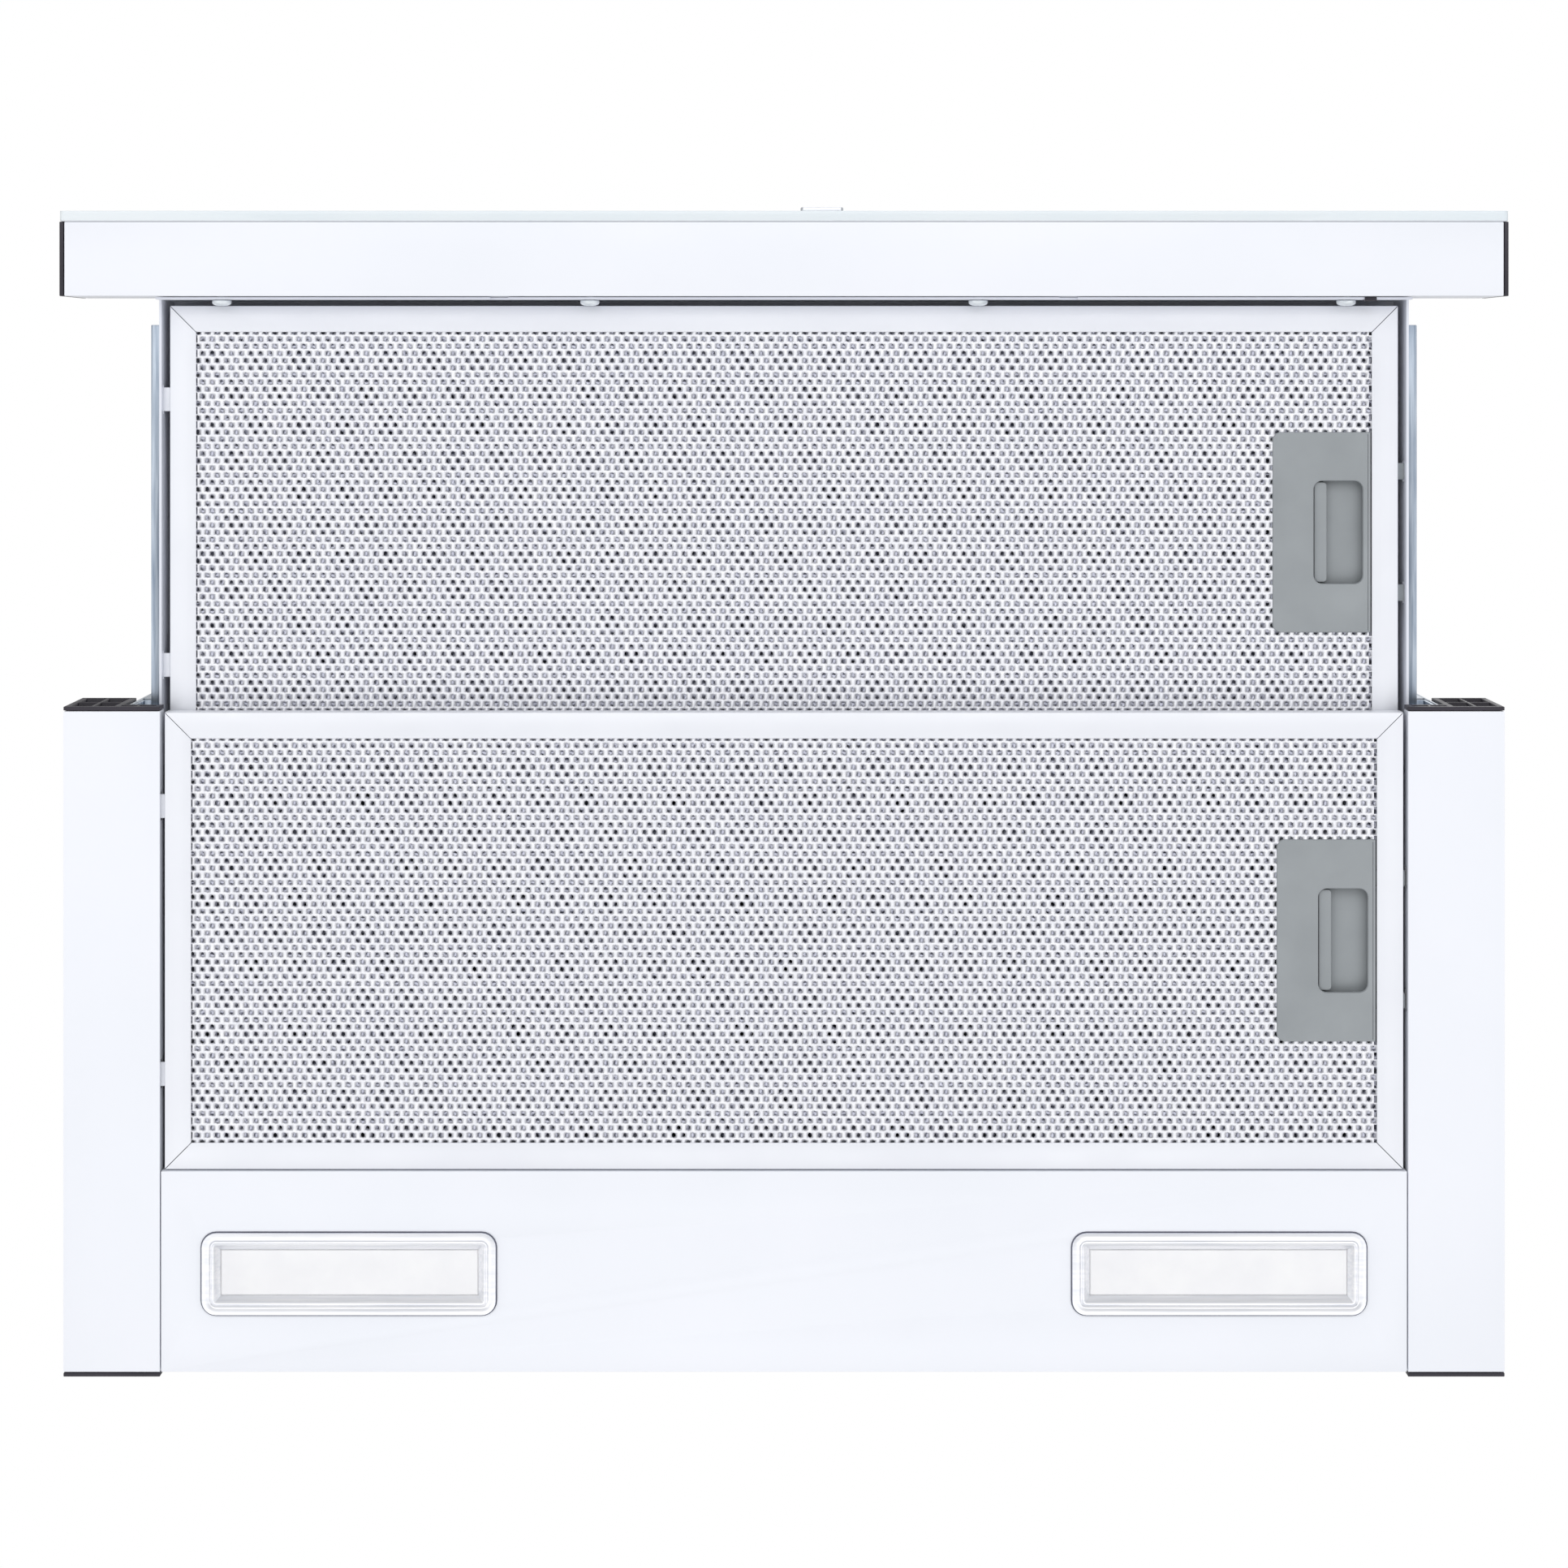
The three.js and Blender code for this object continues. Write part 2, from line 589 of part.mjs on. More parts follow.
function slideChannel() {
  const half = SLIDE_HEIGHT / 2;
  const lip = 3.6;
  const path = [
    [0, -half + lip],
    [0, -half],
    [SLIDE_THICKNESS, -half],
    [SLIDE_THICKNESS, half],
    [0, half],
    [0, half - lip],
  ];
  return slideSection(path, RAIL_SHEET, HOOD_DEPTH - SLIDE_FRONT - SLIDE_REAR);
}

function slideRail() {
  const half = RAIL_HEIGHT / 2;
  const path = [
    [RAIL_FLANGE, half],
    [0, half],
    [0, -half],
    [RAIL_FLANGE, -half],
  ];
  return slideSection(path, RAIL_SHEET, SLIDE_LENGTH);
}

function slideCage() {
  const ballHeight = (SLIDE_HEIGHT / 2 - RAIL_SHEET + RAIL_HEIGHT / 2) / 2;
  const ballDistance = RAIL_SHEET + 0.4 + BALL_RADIUS;
  const half = ballHeight + CAGE_SHEET / 2;
  const web = SLIDE_THICKNESS - 4.7;
  const path = [
    [ballDistance - BALL_RADIUS, -half],
    [web, -half],
    [web, half],
    [ballDistance - BALL_RADIUS, half],
  ];
  const balls = spaced(BALLS, BALL_PITCH).flatMap((y) =>
    [-ballHeight, ballHeight].map((v) => {
      const ball = new THREE.SphereGeometry(BALL_RADIUS, 8, 4);
      ball.translate(RAIL_FACE + ballDistance, CAGE_LENGTH / 2 + y, SLIDE_Z + v);
      return solidOf(ball);
    }),
  );
  return joined([slideSection(path, CAGE_SHEET, CAGE_LENGTH), ...balls]);
}

// Grease filters, each about the middle of its underside

function filterFrame(hookTip) {
  const halfDepth = FILTER_DEPTH / 2;
  const ring = box(-FILTER_HALF, FILTER_HALF, -halfDepth, halfDepth, 0, FILTER_THICKNESS);
  const windowDepth = halfDepth - FILTER_RAIL;
  const window = box(-WINDOW_HALF, WINDOW_HALF, -windowDepth, windowDepth, -1, FILTER_THICKNESS + 1);
  const channel = box(
    -FILTER_HALF + FRAME_SHEET,
    FILTER_HALF - FRAME_SHEET,
    -halfDepth + FRAME_SHEET,
    halfDepth - FRAME_SHEET,
    FRAME_SHEET,
    FILTER_THICKNESS - FRAME_SHEET,
  );
  const web = FILTER_HALF - FRAME_SHEET;
  const slots = filterSlots(web, 0, 0, TONGUE_SPACING, TONGUE_WIDTH, TONGUE_BOTTOM, TONGUE_TOP);
  const hooks = [-HOOK_SPACING / 2, HOOK_SPACING / 2].map((y) => {
    const half = HOOK_WIDTH / 2;
    return box(-hookTip, -web - 0.1, y - half, y + half, HOOK_BOTTOM, HOOK_TOP);
  });
  return joined([cut(ring, [window, channel, ...slots]), ...hooks]);
}

function filterMesh() {
  const margin = FRAME_SHEET + GAP;
  const half = FILTER_HALF - margin;
  const halfDepth = FILTER_DEPTH / 2 - margin;
  const pack = box(-half, half, -halfDepth, halfDepth, margin, FILTER_THICKNESS - margin);
  const notch = LATCH_DEPTH / 2 + GAP;
  return pack.subtract(box(LATCH_LEFT - GAP, half + 1, -notch, notch, 0, FILTER_THICKNESS));
}

function latchWindow() {
  const right = LATCH_RIGHT - LATCH_WINDOW_SET_IN;
  const left = right - LATCH_WINDOW_WIDTH;
  return { left, right, half: LATCH_WINDOW_DEPTH / 2 };
}

function latchPlate() {
  const half = LATCH_DEPTH / 2;
  const top = FILTER_THICKNESS - FRAME_SHEET - GAP;
  const skinTop = LATCH_BOTTOM + LATCH_SKIN;
  const block = box(LATCH_LEFT, LATCH_RIGHT, -half, half, LATCH_BOTTOM, top);
  const inside = box(
    LATCH_LEFT + LATCH_WALL,
    LATCH_RIGHT + 1,
    -half + LATCH_WALL,
    half - LATCH_WALL,
    skinTop,
    top + 1,
  );
  const edge = latchWindow();
  const outline = roundedRectangle(edge.left, edge.right, -edge.half, edge.half, 3.5);
  return cut(block, [inside, prism("z", outline, 0, skinTop + 1)]);
}

function latchSlider(tongueTip) {
  const edge = latchWindow();
  const skinTop = LATCH_BOTTOM + LATCH_SKIN;
  const right = LATCH_RIGHT - 2.4;
  const left = LATCH_LEFT + LATCH_WALL + LATCH_TRAVEL + GAP;
  const half = SLIDER_DEPTH / 2;
  const floor = box(left, right, -half, half, SLIDER_BOTTOM, SLIDER_TOP);
  const ridge = box(
    edge.left + GAP,
    edge.left + GAP + SLIDER_RIDGE,
    -edge.half + 0.5,
    edge.half - 0.5,
    skinTop + GAP,
    TONGUE_TOP,
  );
  const tongues = [-TONGUE_SPACING / 2, TONGUE_SPACING / 2].map((y) => {
    const wide = TONGUE_WIDTH / 2;
    return box(right - 7, tongueTip, y - wide, y + wide, TONGUE_BOTTOM, TONGUE_TOP);
  });
  return joined([floor, ridge, ...tongues]);
}

function addFilter(parent, name, centre, hookTip, tongueTip) {
  const group = new THREE.Group();
  group.position.set(...centre);
  parent.add(group);
  add(group, name + "_filter_frame", filterFrame(hookTip), WHITE_ENAMEL);
  add(group, name + "_filter_mesh", filterMesh(), ALUMINIUM);
  add(group, name + "_latch_plate", latchPlate(), GREY_PLASTIC);
  add(group, name + "_latch_slider", latchSlider(tongueTip), GREY_PLASTIC);
}

// Drawer, drawn shut

function drawerPan(filterY) {
  const wall = PAN_FACE - SHEET;
  const block = box(-PAN_OUTER, PAN_OUTER, wall, PAN_BACK, PAN_BOTTOM, PAN_TOP);
  const inside = box(-PAN_INNER, PAN_INNER, PAN_FACE, PAN_BACK + 1, PAN_BOTTOM - 1, PAN_TOP - SHEET);
  const front = box(-PAN_OUTER, PAN_OUTER, wall, PAN_FACE, PAN_FRONT_BOTTOM, PAN_BOTTOM + 1);
  const screwHoles = SCREW_PLACES.map((x) =>
    rod("y", [x, SCREW_Z], SCREW_RADIUS + GAP, wall - 1, PAN_FACE + 1, 16),
  );
  const slotTop = PAN_FRONT_BOTTOM + PAN_SLOT_HEIGHT;
  const slots = [-PAN_SLOT_SPACING / 2, PAN_SLOT_SPACING / 2].map((x) => {
    const half = PAN_SLOT_WIDTH / 2;
    return box(x - half, x + half, wall - 1, PAN_FACE + 1, PAN_FRONT_BOTTOM - 1, slotTop);
  });
  const bottom = FRONT_FILTER_BOTTOM;
  const tongueSlots = filterSlots(
    PAN_INNER,
    filterY,
    bottom,
    TONGUE_SPACING,
    TONGUE_WIDTH,
    TONGUE_BOTTOM,
    TONGUE_TOP,
  );
  const hookSlots = filterSlots(
    -PAN_OUTER,
    filterY,
    bottom,
    HOOK_SPACING,
    HOOK_WIDTH,
    HOOK_BOTTOM,
    HOOK_TOP,
  );
  const openings = [...screwHoles, ...slots, ...tongueSlots, ...hookSlots];
  return cut(block.subtract(inside).add(front), openings);
}

function fascia() {
  const end = FASCIA_END - GAP;
  const outer = box(-end, end, FASCIA_FRONT, FASCIA_BACK, FASCIA_BOTTOM, FASCIA_TOP);
  const inside = box(
    -end - 1,
    end + 1,
    FASCIA_FRONT + SHEET,
    FASCIA_BACK - SHEET,
    FASCIA_BOTTOM + SHEET,
    FASCIA_TOP - SHEET,
  );
  const slotHalf = BUTTON_ROW / 2 + BUTTON_RADIUS + 2;
  const slotHeight = BUTTON_RADIUS + 1.5;
  const slot = box(
    CONTROLS_X - slotHalf,
    CONTROLS_X + slotHalf,
    FASCIA_FRONT - 1,
    FASCIA_FRONT + SHEET + 1,
    CONTROLS_Z - slotHeight,
    CONTROLS_Z + slotHeight,
  );
  const screwHoles = SCREW_PLACES.map((x) =>
    rod("y", [x, SCREW_Z], SCREW_RADIUS + GAP, FASCIA_BACK - SHEET - 1, FASCIA_BACK + 1, 16),
  );
  return cut(outer, [inside, slot, ...screwHoles]);
}

function fasciaCap() {
  const plate = box(
    FASCIA_END,
    FRONT_WIDTH / 2,
    FASCIA_FRONT,
    FASCIA_BACK,
    FASCIA_BOTTOM,
    FASCIA_TOP,
  );
  const ringAt = (inset, reach) =>
    box(
      FASCIA_END - reach,
      FASCIA_END + 0.5,
      FASCIA_FRONT + inset,
      FASCIA_BACK - inset,
      FASCIA_BOTTOM + inset,
      FASCIA_TOP - inset,
    );
  const outside = SHEET + GAP;
  const ring = ringAt(outside, CAP_PLUG).subtract(ringAt(outside + CAP_RIB, CAP_PLUG + 1));
  return plate.add(ring);
}

function controlsOutline(grow) {
  const halfWidth = BEZEL_WIDTH / 2 + grow;
  const halfHeight = BEZEL_HEIGHT / 2 + grow;
  return roundedRectangle(
    CONTROLS_X - halfWidth,
    CONTROLS_X + halfWidth,
    CONTROLS_Z - halfHeight,
    CONTROLS_Z + halfHeight,
    3 + grow,
  );
}

function frontGlass() {
  const half = FRONT_WIDTH / 2;
  const outline = roundedRectangle(-half, half, GLASS_BOTTOM, GLASS_TOP, GLASS_CORNER);
  const plate = prism("y", outline, GLASS_FRONT, GLASS_BACK);
  return plate.subtract(prism("y", controlsOutline(GAP), GLASS_FRONT - 1, GLASS_BACK + 1));
}

function buttonBezel() {
  const plate = prism("y", controlsOutline(0), GLASS_FRONT, FASCIA_FRONT - GAP);
  const holes = spaced(BUTTON_NAMES.length, BUTTON_PITCH).map((x) =>
    rod("y", [CONTROLS_X + x, CONTROLS_Z], BUTTON_RADIUS + GAP, GLASS_FRONT - 1, FASCIA_FRONT),
  );
  return cut(plate, holes);
}

function button(x) {
  const centre = [CONTROLS_X + x, CONTROLS_Z];
  const stem = rod("y", centre, BUTTON_RADIUS, GLASS_FRONT - BUTTON_PROUD, BUTTON_BACK, 16);
  const flangeFront = FASCIA_FRONT + GAP;
  const flange = rod("y", centre, BUTTON_RADIUS + BUTTON_FLANGE, flangeFront, flangeFront + 1, 16);
  return stem.add(flange);
}

function controlBoard() {
  const boardFront = SWITCH_TOP + SWITCH_HEIGHT;
  const [halfWidth, halfHeight, postHalf, postInset] = [54, 9, 3, 4];
  const board = box(
    CONTROLS_X - halfWidth,
    CONTROLS_X + halfWidth,
    boardFront,
    boardFront + BOARD_THICKNESS,
    CONTROLS_Z - halfHeight,
    CONTROLS_Z + halfHeight,
  );
  const block = (x, half, front) =>
    box(x - half, x + half, front, boardFront + 0.5, CONTROLS_Z - half, CONTROLS_Z + half);
  const switches = spaced(BUTTON_NAMES.length, BUTTON_PITCH).map((x) =>
    block(CONTROLS_X + x, SWITCH_SIZE / 2, SWITCH_TOP),
  );
  const posts = [-halfWidth + postInset, halfWidth - postInset].map((x) =>
    block(CONTROLS_X + x, postHalf, FASCIA_FRONT + SHEET + GAP),
  );
  return joined([board, ...switches, ...posts]);
}

function fasciaScrew(x) {
  const steps = 4;
  const dome = Array.from({ length: steps + 1 }, (_, i) => {
    const angle = (Math.PI / 2) * (i / steps);
    const radius = i < steps ? SCREW_HEAD_RADIUS * Math.cos(angle) : 0;
    return new THREE.Vector2(radius, SCREW_HEAD_HEIGHT * Math.sin(angle));
  });
  const head = new THREE.LatheGeometry([new THREE.Vector2(0, 0), ...dome], 20);
  head.translate(x, PAN_FACE + GAP, SCREW_Z);
  const shankEnd = PAN_FACE - SCREW_LENGTH;
  const headBase = PAN_FACE + GAP;
  return solidOf(head).add(
    rod("y", [x, SCREW_Z], SCREW_RADIUS, shankEnd, headBase + 0.5, 16),
  );
}

// Blower and duct

function blowerCasing() {
  const outer = prism("x", scrollOutline(CASING_WALL, UNDER_TOP), GAP / 2, CASING_HALF);
  const inner = prism("x", scrollOutline(0, UNDER_TOP + 1), -1, CASING_HALF - CASING_WALL);
  const inlet = rod("x", [AXIS_Y, AXIS_Z], INLET_RADIUS, 1, CASING_HALF + 1, 40);
  return cut(outer, [inner, inlet]);
}

function bladeWheel() {
  const centre = [AXIS_Y, AXIS_Z];
  const bladeRoot = WHEEL_RADIUS - BLADE_HEIGHT;
  const disc = rod("x", centre, WHEEL_RADIUS - 1, -WHEEL_DISC / 2, WHEEL_DISC / 2, 36);
  const hub = rod("x", centre, HUB_RADIUS, -HUB_HALF, HUB_HALF);
  const rings = [-WHEEL_HALF, WHEEL_HALF - WHEEL_RING_WIDTH].map((x) =>
    tube("x", centre, WHEEL_RADIUS - WHEEL_RING, WHEEL_RADIUS, x, x + WHEEL_RING_WIDTH, 36),
  );
  const path = arc(BLADE_BEND, bladeRoot + 1, BLADE_BEND, 186, 100, 2);
  const section = foldedSheet(path, BLADE_SHEET);
  const blades = Array.from({ length: WHEEL_BLADES }, (_, i) => {
    const angle = (2 * Math.PI * i) / WHEEL_BLADES;
    const turned = section.map(([u, v]) => [
      AXIS_Y + u * Math.cos(angle) - v * Math.sin(angle),
      AXIS_Z + u * Math.sin(angle) + v * Math.cos(angle),
    ]);
    return prism("x", turned, -WHEEL_HALF + 0.5, WHEEL_HALF - 0.5);
  });
  const bore = rod("x", centre, SHAFT_RADIUS + GAP, -HUB_HALF - 1, HUB_HALF + 1);
  return joined([disc, hub, ...rings, ...blades]).subtract(bore);
}

function motor() {
  const centre = [AXIS_Y, AXIS_Z];
  const face = -MOTOR_TO_DISC;
  const back = face - MOTOR_LENGTH;
  return joined([
    rod("x", centre, MOTOR_RADIUS, back, face, 36),
    rod("x", centre, MOTOR_RADIUS - 6, back - 4, back + 1, 36),
    rod("x", centre, SHAFT_RADIUS, face - 1, HUB_HALF - 1),
  ]);
}

// A ring round the motor with three arms to the rim of the casing's inlet.
function motorBracket() {
  const right = -CASING_HALF - GAP;
  const left = right - BRACKET_THICKNESS;
  const inner = MOTOR_RADIUS + GAP;
  const ring = tube("x", [AXIS_Y, AXIS_Z], inner, inner + BRACKET_RING, left, right, 36);
  const arms = [90, 210, 330].map((degrees) => {
    const length = SCROLL_START - inner - 1;
    const arm = new THREE.BoxGeometry(BRACKET_THICKNESS, length, BRACKET_ARM);
    arm.translate((left + right) / 2, inner + 1 + length / 2, 0);
    arm.rotateX(THREE.MathUtils.degToRad(degrees));
    arm.translate(0, AXIS_Y, AXIS_Z);
    return solidOf(arm);
  });
  return joined([ring, ...arms]);
}

function outletCollar() {
  const centre = [0, COLLAR_Y];
  const inner = DUCT_RADIUS - DUCT_WALL;
  const ledgeTop = COLLAR_BOTTOM + LEDGE_TOP;
  const flange = DUCT_RADIUS + DUCT_FLANGE;
  const half = FLAP_ROD_X + FLAP_ROD_RADIUS;
  const holes = [-FLAP_ROD_X, FLAP_ROD_X].map((x) =>
    rod("y", [x, flapAxisZ()], FLAP_ROD_RADIUS + GAP, COLLAR_Y - flange, COLLAR_Y + flange, 12),
  );
  const bar = box(
    -half,
    half,
    COLLAR_Y - inner - 1,
    COLLAR_Y + inner + 1,
    ledgeTop - FLAP_BAR,
    ledgeTop,
  );
  const solid = joined([
    tube("z", centre, inner, DUCT_RADIUS, COLLAR_BOTTOM, COLLAR_BOTTOM + DUCT_HEIGHT, 48),
    tube("z", centre, inner, flange, COLLAR_BOTTOM, COLLAR_BOTTOM + DUCT_FLANGE_THICKNESS, 48),
    tube("z", centre, inner - LEDGE_WIDTH, inner + 1, ledgeTop - LEDGE_THICKNESS, ledgeTop, 48),
    bar,
  ]);
  return cut(solid, holes);
}

function flapAxisZ() {
  return COLLAR_BOTTOM + LEDGE_TOP + GAP + FLAP_ROD_RADIUS;
}

// The right half of the non-return damper, shut on its ledge.
function damperFlap() {
  const inner = DUCT_RADIUS - DUCT_WALL;
  const bottom = flapAxisZ() - FLAP_THICKNESS;
  const disc = rod("z", [0, COLLAR_Y], inner - FLAP_EDGE, bottom, flapAxisZ(), 48);
  const half = box(FLAP_ROD_X, inner, COLLAR_Y - inner, COLLAR_Y + inner, bottom - 1, flapAxisZ() + 1);
  const reach = inner + DUCT_WALL / 2;
  const pin = rod("y", [FLAP_ROD_X, flapAxisZ()], FLAP_ROD_RADIUS, COLLAR_Y - reach, COLLAR_Y + reach, 12);
  return disc.intersect(half).add(pin);
}

// Electrics

function capacitor() {
  const [radius, left, right, y] = [15, -165, -113, -40];
  const z = UNDER_TOP - radius;
  const can = rod("x", [y, z], radius, left, right, 24);
  return can.add(rod("x", [y, z], 4, left - 6, left + 1, 12));
}

function terminalBox() {
  const [halfWidth, halfDepth, height] = [36, 22, 30];
  const outline = roundedRectangle(
    GLAND_X - halfWidth,
    GLAND_X + halfWidth,
    GLAND_Y - halfDepth,
    GLAND_Y + halfDepth,
    4,
  );
  return prism("z", outline, UNDER_TOP - height, UNDER_TOP);
}

function mainsGland() {
  const centre = [GLAND_X, GLAND_Y];
  const [nutRadius, nutHeight, domeRadius, domeHeight] = [12, 6, 8.5, 15];
  const seat = HOUSING_TOP + GAP;
  const solid = joined([
    rod("z", centre, GLAND_RADIUS - GAP, UNDER_TOP + GAP, seat + 1),
    rod("z", centre, nutRadius, seat, seat + nutHeight, 6),
    rod("z", centre, domeRadius, seat + nutHeight - 1, seat + domeHeight),
  ]);
  return solid.subtract(rod("z", centre, CABLE_RADIUS, UNDER_TOP, seat + domeHeight + 1, 16));
}

function ledDriver() {
  const [halfWidth, halfDepth, height, y] = [50, 19, 20, -44];
  const bottom = BOTTOM + SHEET + GAP;
  const outline = roundedRectangle(-halfWidth, halfWidth, y - halfDepth, y + halfDepth, 3);
  return prism("z", outline, bottom, bottom + height);
}

// Assembly

const hood = new THREE.Group();

const filterMiddle = FILTER_DEPTH / 2;
const rearFilterCentre = [0, REAR_FILTER_FRONT + filterMiddle, REAR_FILTER_BOTTOM];
const frontFilterCentre = [0, FRONT_FILTER_FRONT + filterMiddle, FRONT_FILTER_BOTTOM];
const lipTongues = [TONGUE_SPACING, TONGUE_WIDTH, TONGUE_BOTTOM, TONGUE_TOP];
const lipHooks = [HOOK_SPACING, HOOK_WIDTH, HOOK_BOTTOM, HOOK_TOP + HOOK_TILT];
const lipPlace = [OPENING_HALF, rearFilterCentre[1], REAR_FILTER_BOTTOM];

add(hood, "housing_shell", housingShell(), GALVANISED);
addPair(hood, "side_panel", sidePanel(), GALVANISED);
add(hood, "rear_panel", rearPanel(), WHITE_ENAMEL);
add(hood, "wing_right", wing(filterSlots(...lipPlace, ...lipTongues)), WHITE_ENAMEL);
add(hood, "wing_left", wing(filterSlots(...lipPlace, ...lipHooks)), WHITE_ENAMEL).scale.x = -1;

for (const [side, across] of [["right", 1], ["left", -1]]) {
  for (const [end, along] of [["front", 1], ["rear", -1]]) {
    const cap = add(hood, `wing_cap_${end}_${side}`, wingCap(), BLACK_PLASTIC);
    cap.position.y = along > 0 ? -HOOD_DEPTH : 0;
    cap.scale.set(across, along, 1);
  }
}

for (const [side, x] of [["right", LAMP_X], ["left", -LAMP_X]]) {
  const lamp = new THREE.Group();
  lamp.position.set(x, LAMP_Y, 0);
  hood.add(lamp);
  add(lamp, "lamp_bezel_" + side, lampBezel(), SATIN_METAL);
  add(lamp, "lamp_lens_" + side, lampLens(), DIFFUSER);
  add(lamp, "lamp_board_" + side, lampBoard(), CIRCUIT_BOARD);
}

const channels = new THREE.Group();
channels.position.y = -HOOD_DEPTH + SLIDE_FRONT;
hood.add(channels);
addPair(channels, "slide_channel", slideChannel(), GALVANISED);

addPair(hood, "blower_casing", blowerCasing(), BLACK_PLASTIC);
add(hood, "impeller", bladeWheel(), GREY_PLASTIC);
add(hood, "motor", motor(), MOTOR_STEEL);
add(hood, "motor_bracket", motorBracket(), GALVANISED);
add(hood, "outlet_collar", outletCollar(), BLACK_PLASTIC);
addPair(hood, "damper_flap", damperFlap(), GREY_PLASTIC);
add(hood, "capacitor", capacitor(), ALUMINIUM);
add(hood, "terminal_box", terminalBox(), BLACK_PLASTIC);
add(hood, "mains_gland", mainsGland(), BLACK_PLASTIC);
add(hood, "led_driver", ledDriver(), GREY_PLASTIC);

const rearHookTip = OPENING_HALF + SHEET + 0.7;
const rearTongueTip = OPENING_HALF - GAP;
addFilter(hood, "rear", rearFilterCentre, rearHookTip, rearTongueTip);

const drawer = new THREE.Group();
drawer.position.y = -DRAWER_TRAVEL;
hood.add(drawer);
add(drawer, "drawer_pan", drawerPan(frontFilterCentre[1]), GALVANISED);
add(drawer, "fascia", fascia(), WHITE_ENAMEL);
addPair(drawer, "fascia_cap", fasciaCap(), BLACK_PLASTIC);
add(drawer, "front_glass", frontGlass(), SAFETY_GLASS);
add(drawer, "button_bezel", buttonBezel(), LIGHT_PLASTIC);
add(drawer, "control_board", controlBoard(), CIRCUIT_BOARD);
SCREW_PLACES.forEach((x, i) => add(drawer, `fascia_screw_${i + 1}`, fasciaScrew(x), SATIN_METAL));
spaced(BUTTON_NAMES.length, BUTTON_PITCH).forEach((x, i) =>
  add(drawer, "button_" + BUTTON_NAMES[i], button(x), LIGHT_PLASTIC),
);

const badgeOutline = roundedRectangle(
  BADGE_X - BADGE_WIDTH / 2,
  BADGE_X + BADGE_WIDTH / 2,
  CONTROLS_Z - BADGE_HEIGHT / 2,
  CONTROLS_Z + BADGE_HEIGHT / 2,
  1.5,
);
const badgeBack = GLASS_FRONT - GAP;
add(drawer, "badge_plate", prism("y", badgeOutline, badgeBack - BADGE_THICKNESS, badgeBack), SATIN_METAL);

const rails = new THREE.Group();
rails.position.y = -HOOD_DEPTH + SLIDE_REST;
drawer.add(rails);
addPair(rails, "slide_rail", slideRail(), GALVANISED);

const frontHookTip = RAIL_FACE - 0.5;
const frontTongueTip = PAN_INNER + 0.8;
addFilter(drawer, "front", frontFilterCentre, frontHookTip, frontTongueTip);

// The cages travel half as far as the drawer.
const cages = new THREE.Group();
const railMiddle = -HOOD_DEPTH + SLIDE_REST + SLIDE_LENGTH / 2;
cages.position.y = railMiddle - CAGE_LENGTH / 2 - DRAWER_TRAVEL / 2;
hood.add(cages);
addPair(cages, "slide_cage", slideCage(), GALVANISED);

export default hood;
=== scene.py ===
"""The looks of a slide-out cooker hood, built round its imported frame.

Lengths in this file are in millimetres until a piece is made: MM turns them into metres.
"""

import math
import random

import bmesh
import bpy
from mathutils import Matrix, Vector


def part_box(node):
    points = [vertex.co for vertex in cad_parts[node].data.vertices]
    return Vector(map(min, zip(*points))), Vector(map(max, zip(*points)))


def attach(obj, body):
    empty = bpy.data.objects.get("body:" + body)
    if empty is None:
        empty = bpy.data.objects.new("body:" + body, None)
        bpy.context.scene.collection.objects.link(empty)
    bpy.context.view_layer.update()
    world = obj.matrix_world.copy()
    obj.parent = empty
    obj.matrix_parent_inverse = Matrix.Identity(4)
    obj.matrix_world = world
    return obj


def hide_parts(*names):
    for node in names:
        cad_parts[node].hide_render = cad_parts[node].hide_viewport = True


MM = 0.001
SHARP_ANGLE = math.radians(35)

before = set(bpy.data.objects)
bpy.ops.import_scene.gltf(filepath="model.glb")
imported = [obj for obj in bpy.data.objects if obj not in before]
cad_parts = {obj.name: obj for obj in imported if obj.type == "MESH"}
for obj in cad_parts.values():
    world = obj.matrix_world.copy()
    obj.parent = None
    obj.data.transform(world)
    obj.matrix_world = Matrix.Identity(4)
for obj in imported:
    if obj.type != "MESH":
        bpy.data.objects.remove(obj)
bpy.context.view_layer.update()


def span(node):
    """A CAD node's lowest and highest corners in millimetres."""
    low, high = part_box(node)
    return low / MM, high / MM


# Materials: noise and cell scales are per metre of the piece's own coordinates

NOISE_LOW = 0.3
NOISE_HIGH = 0.7


def srgb(red, green, blue):
    """A colour given as 0 to 255, as the shader wants it."""

    def linear(value):
        value /= 255
        return value / 12.92 if value <= 0.04045 else ((value + 0.055) / 1.055) ** 2.4

    return (linear(red), linear(green), linear(blue), 1)


def new_material(name, **settings):
    """A material's node tree and its shader, with the settings that are the same all over."""
    material = bpy.data.materials.new(name)
    material.use_nodes = True
    tree = material.node_tree
    shader = tree.nodes["Principled BSDF"]
    for socket, value in settings.items():
        shader.inputs[socket.replace("_", " ")].default_value = value
    return material, tree, shader


def placed(tree, stretch):
    """The piece's own coordinates in metres, stretched along its axes."""
    coordinate = tree.nodes.new("ShaderNodeTexCoord")
    mapping = tree.nodes.new("ShaderNodeMapping")
    mapping.inputs["Scale"].default_value = stretch
    tree.links.new(coordinate.outputs["Object"], mapping.inputs["Vector"])
    return mapping.outputs["Vector"]


def noise(tree, scale, stretch=(1, 1, 1), detail=3):
    """Soft noise, which mostly lies between NOISE_LOW and NOISE_HIGH."""
    texture = tree.nodes.new("ShaderNodeTexNoise")
    texture.inputs["Scale"].default_value = scale
    texture.inputs["Detail"].default_value = detail
    tree.links.new(placed(tree, stretch), texture.inputs["Vector"])
    return texture.outputs["Fac"]


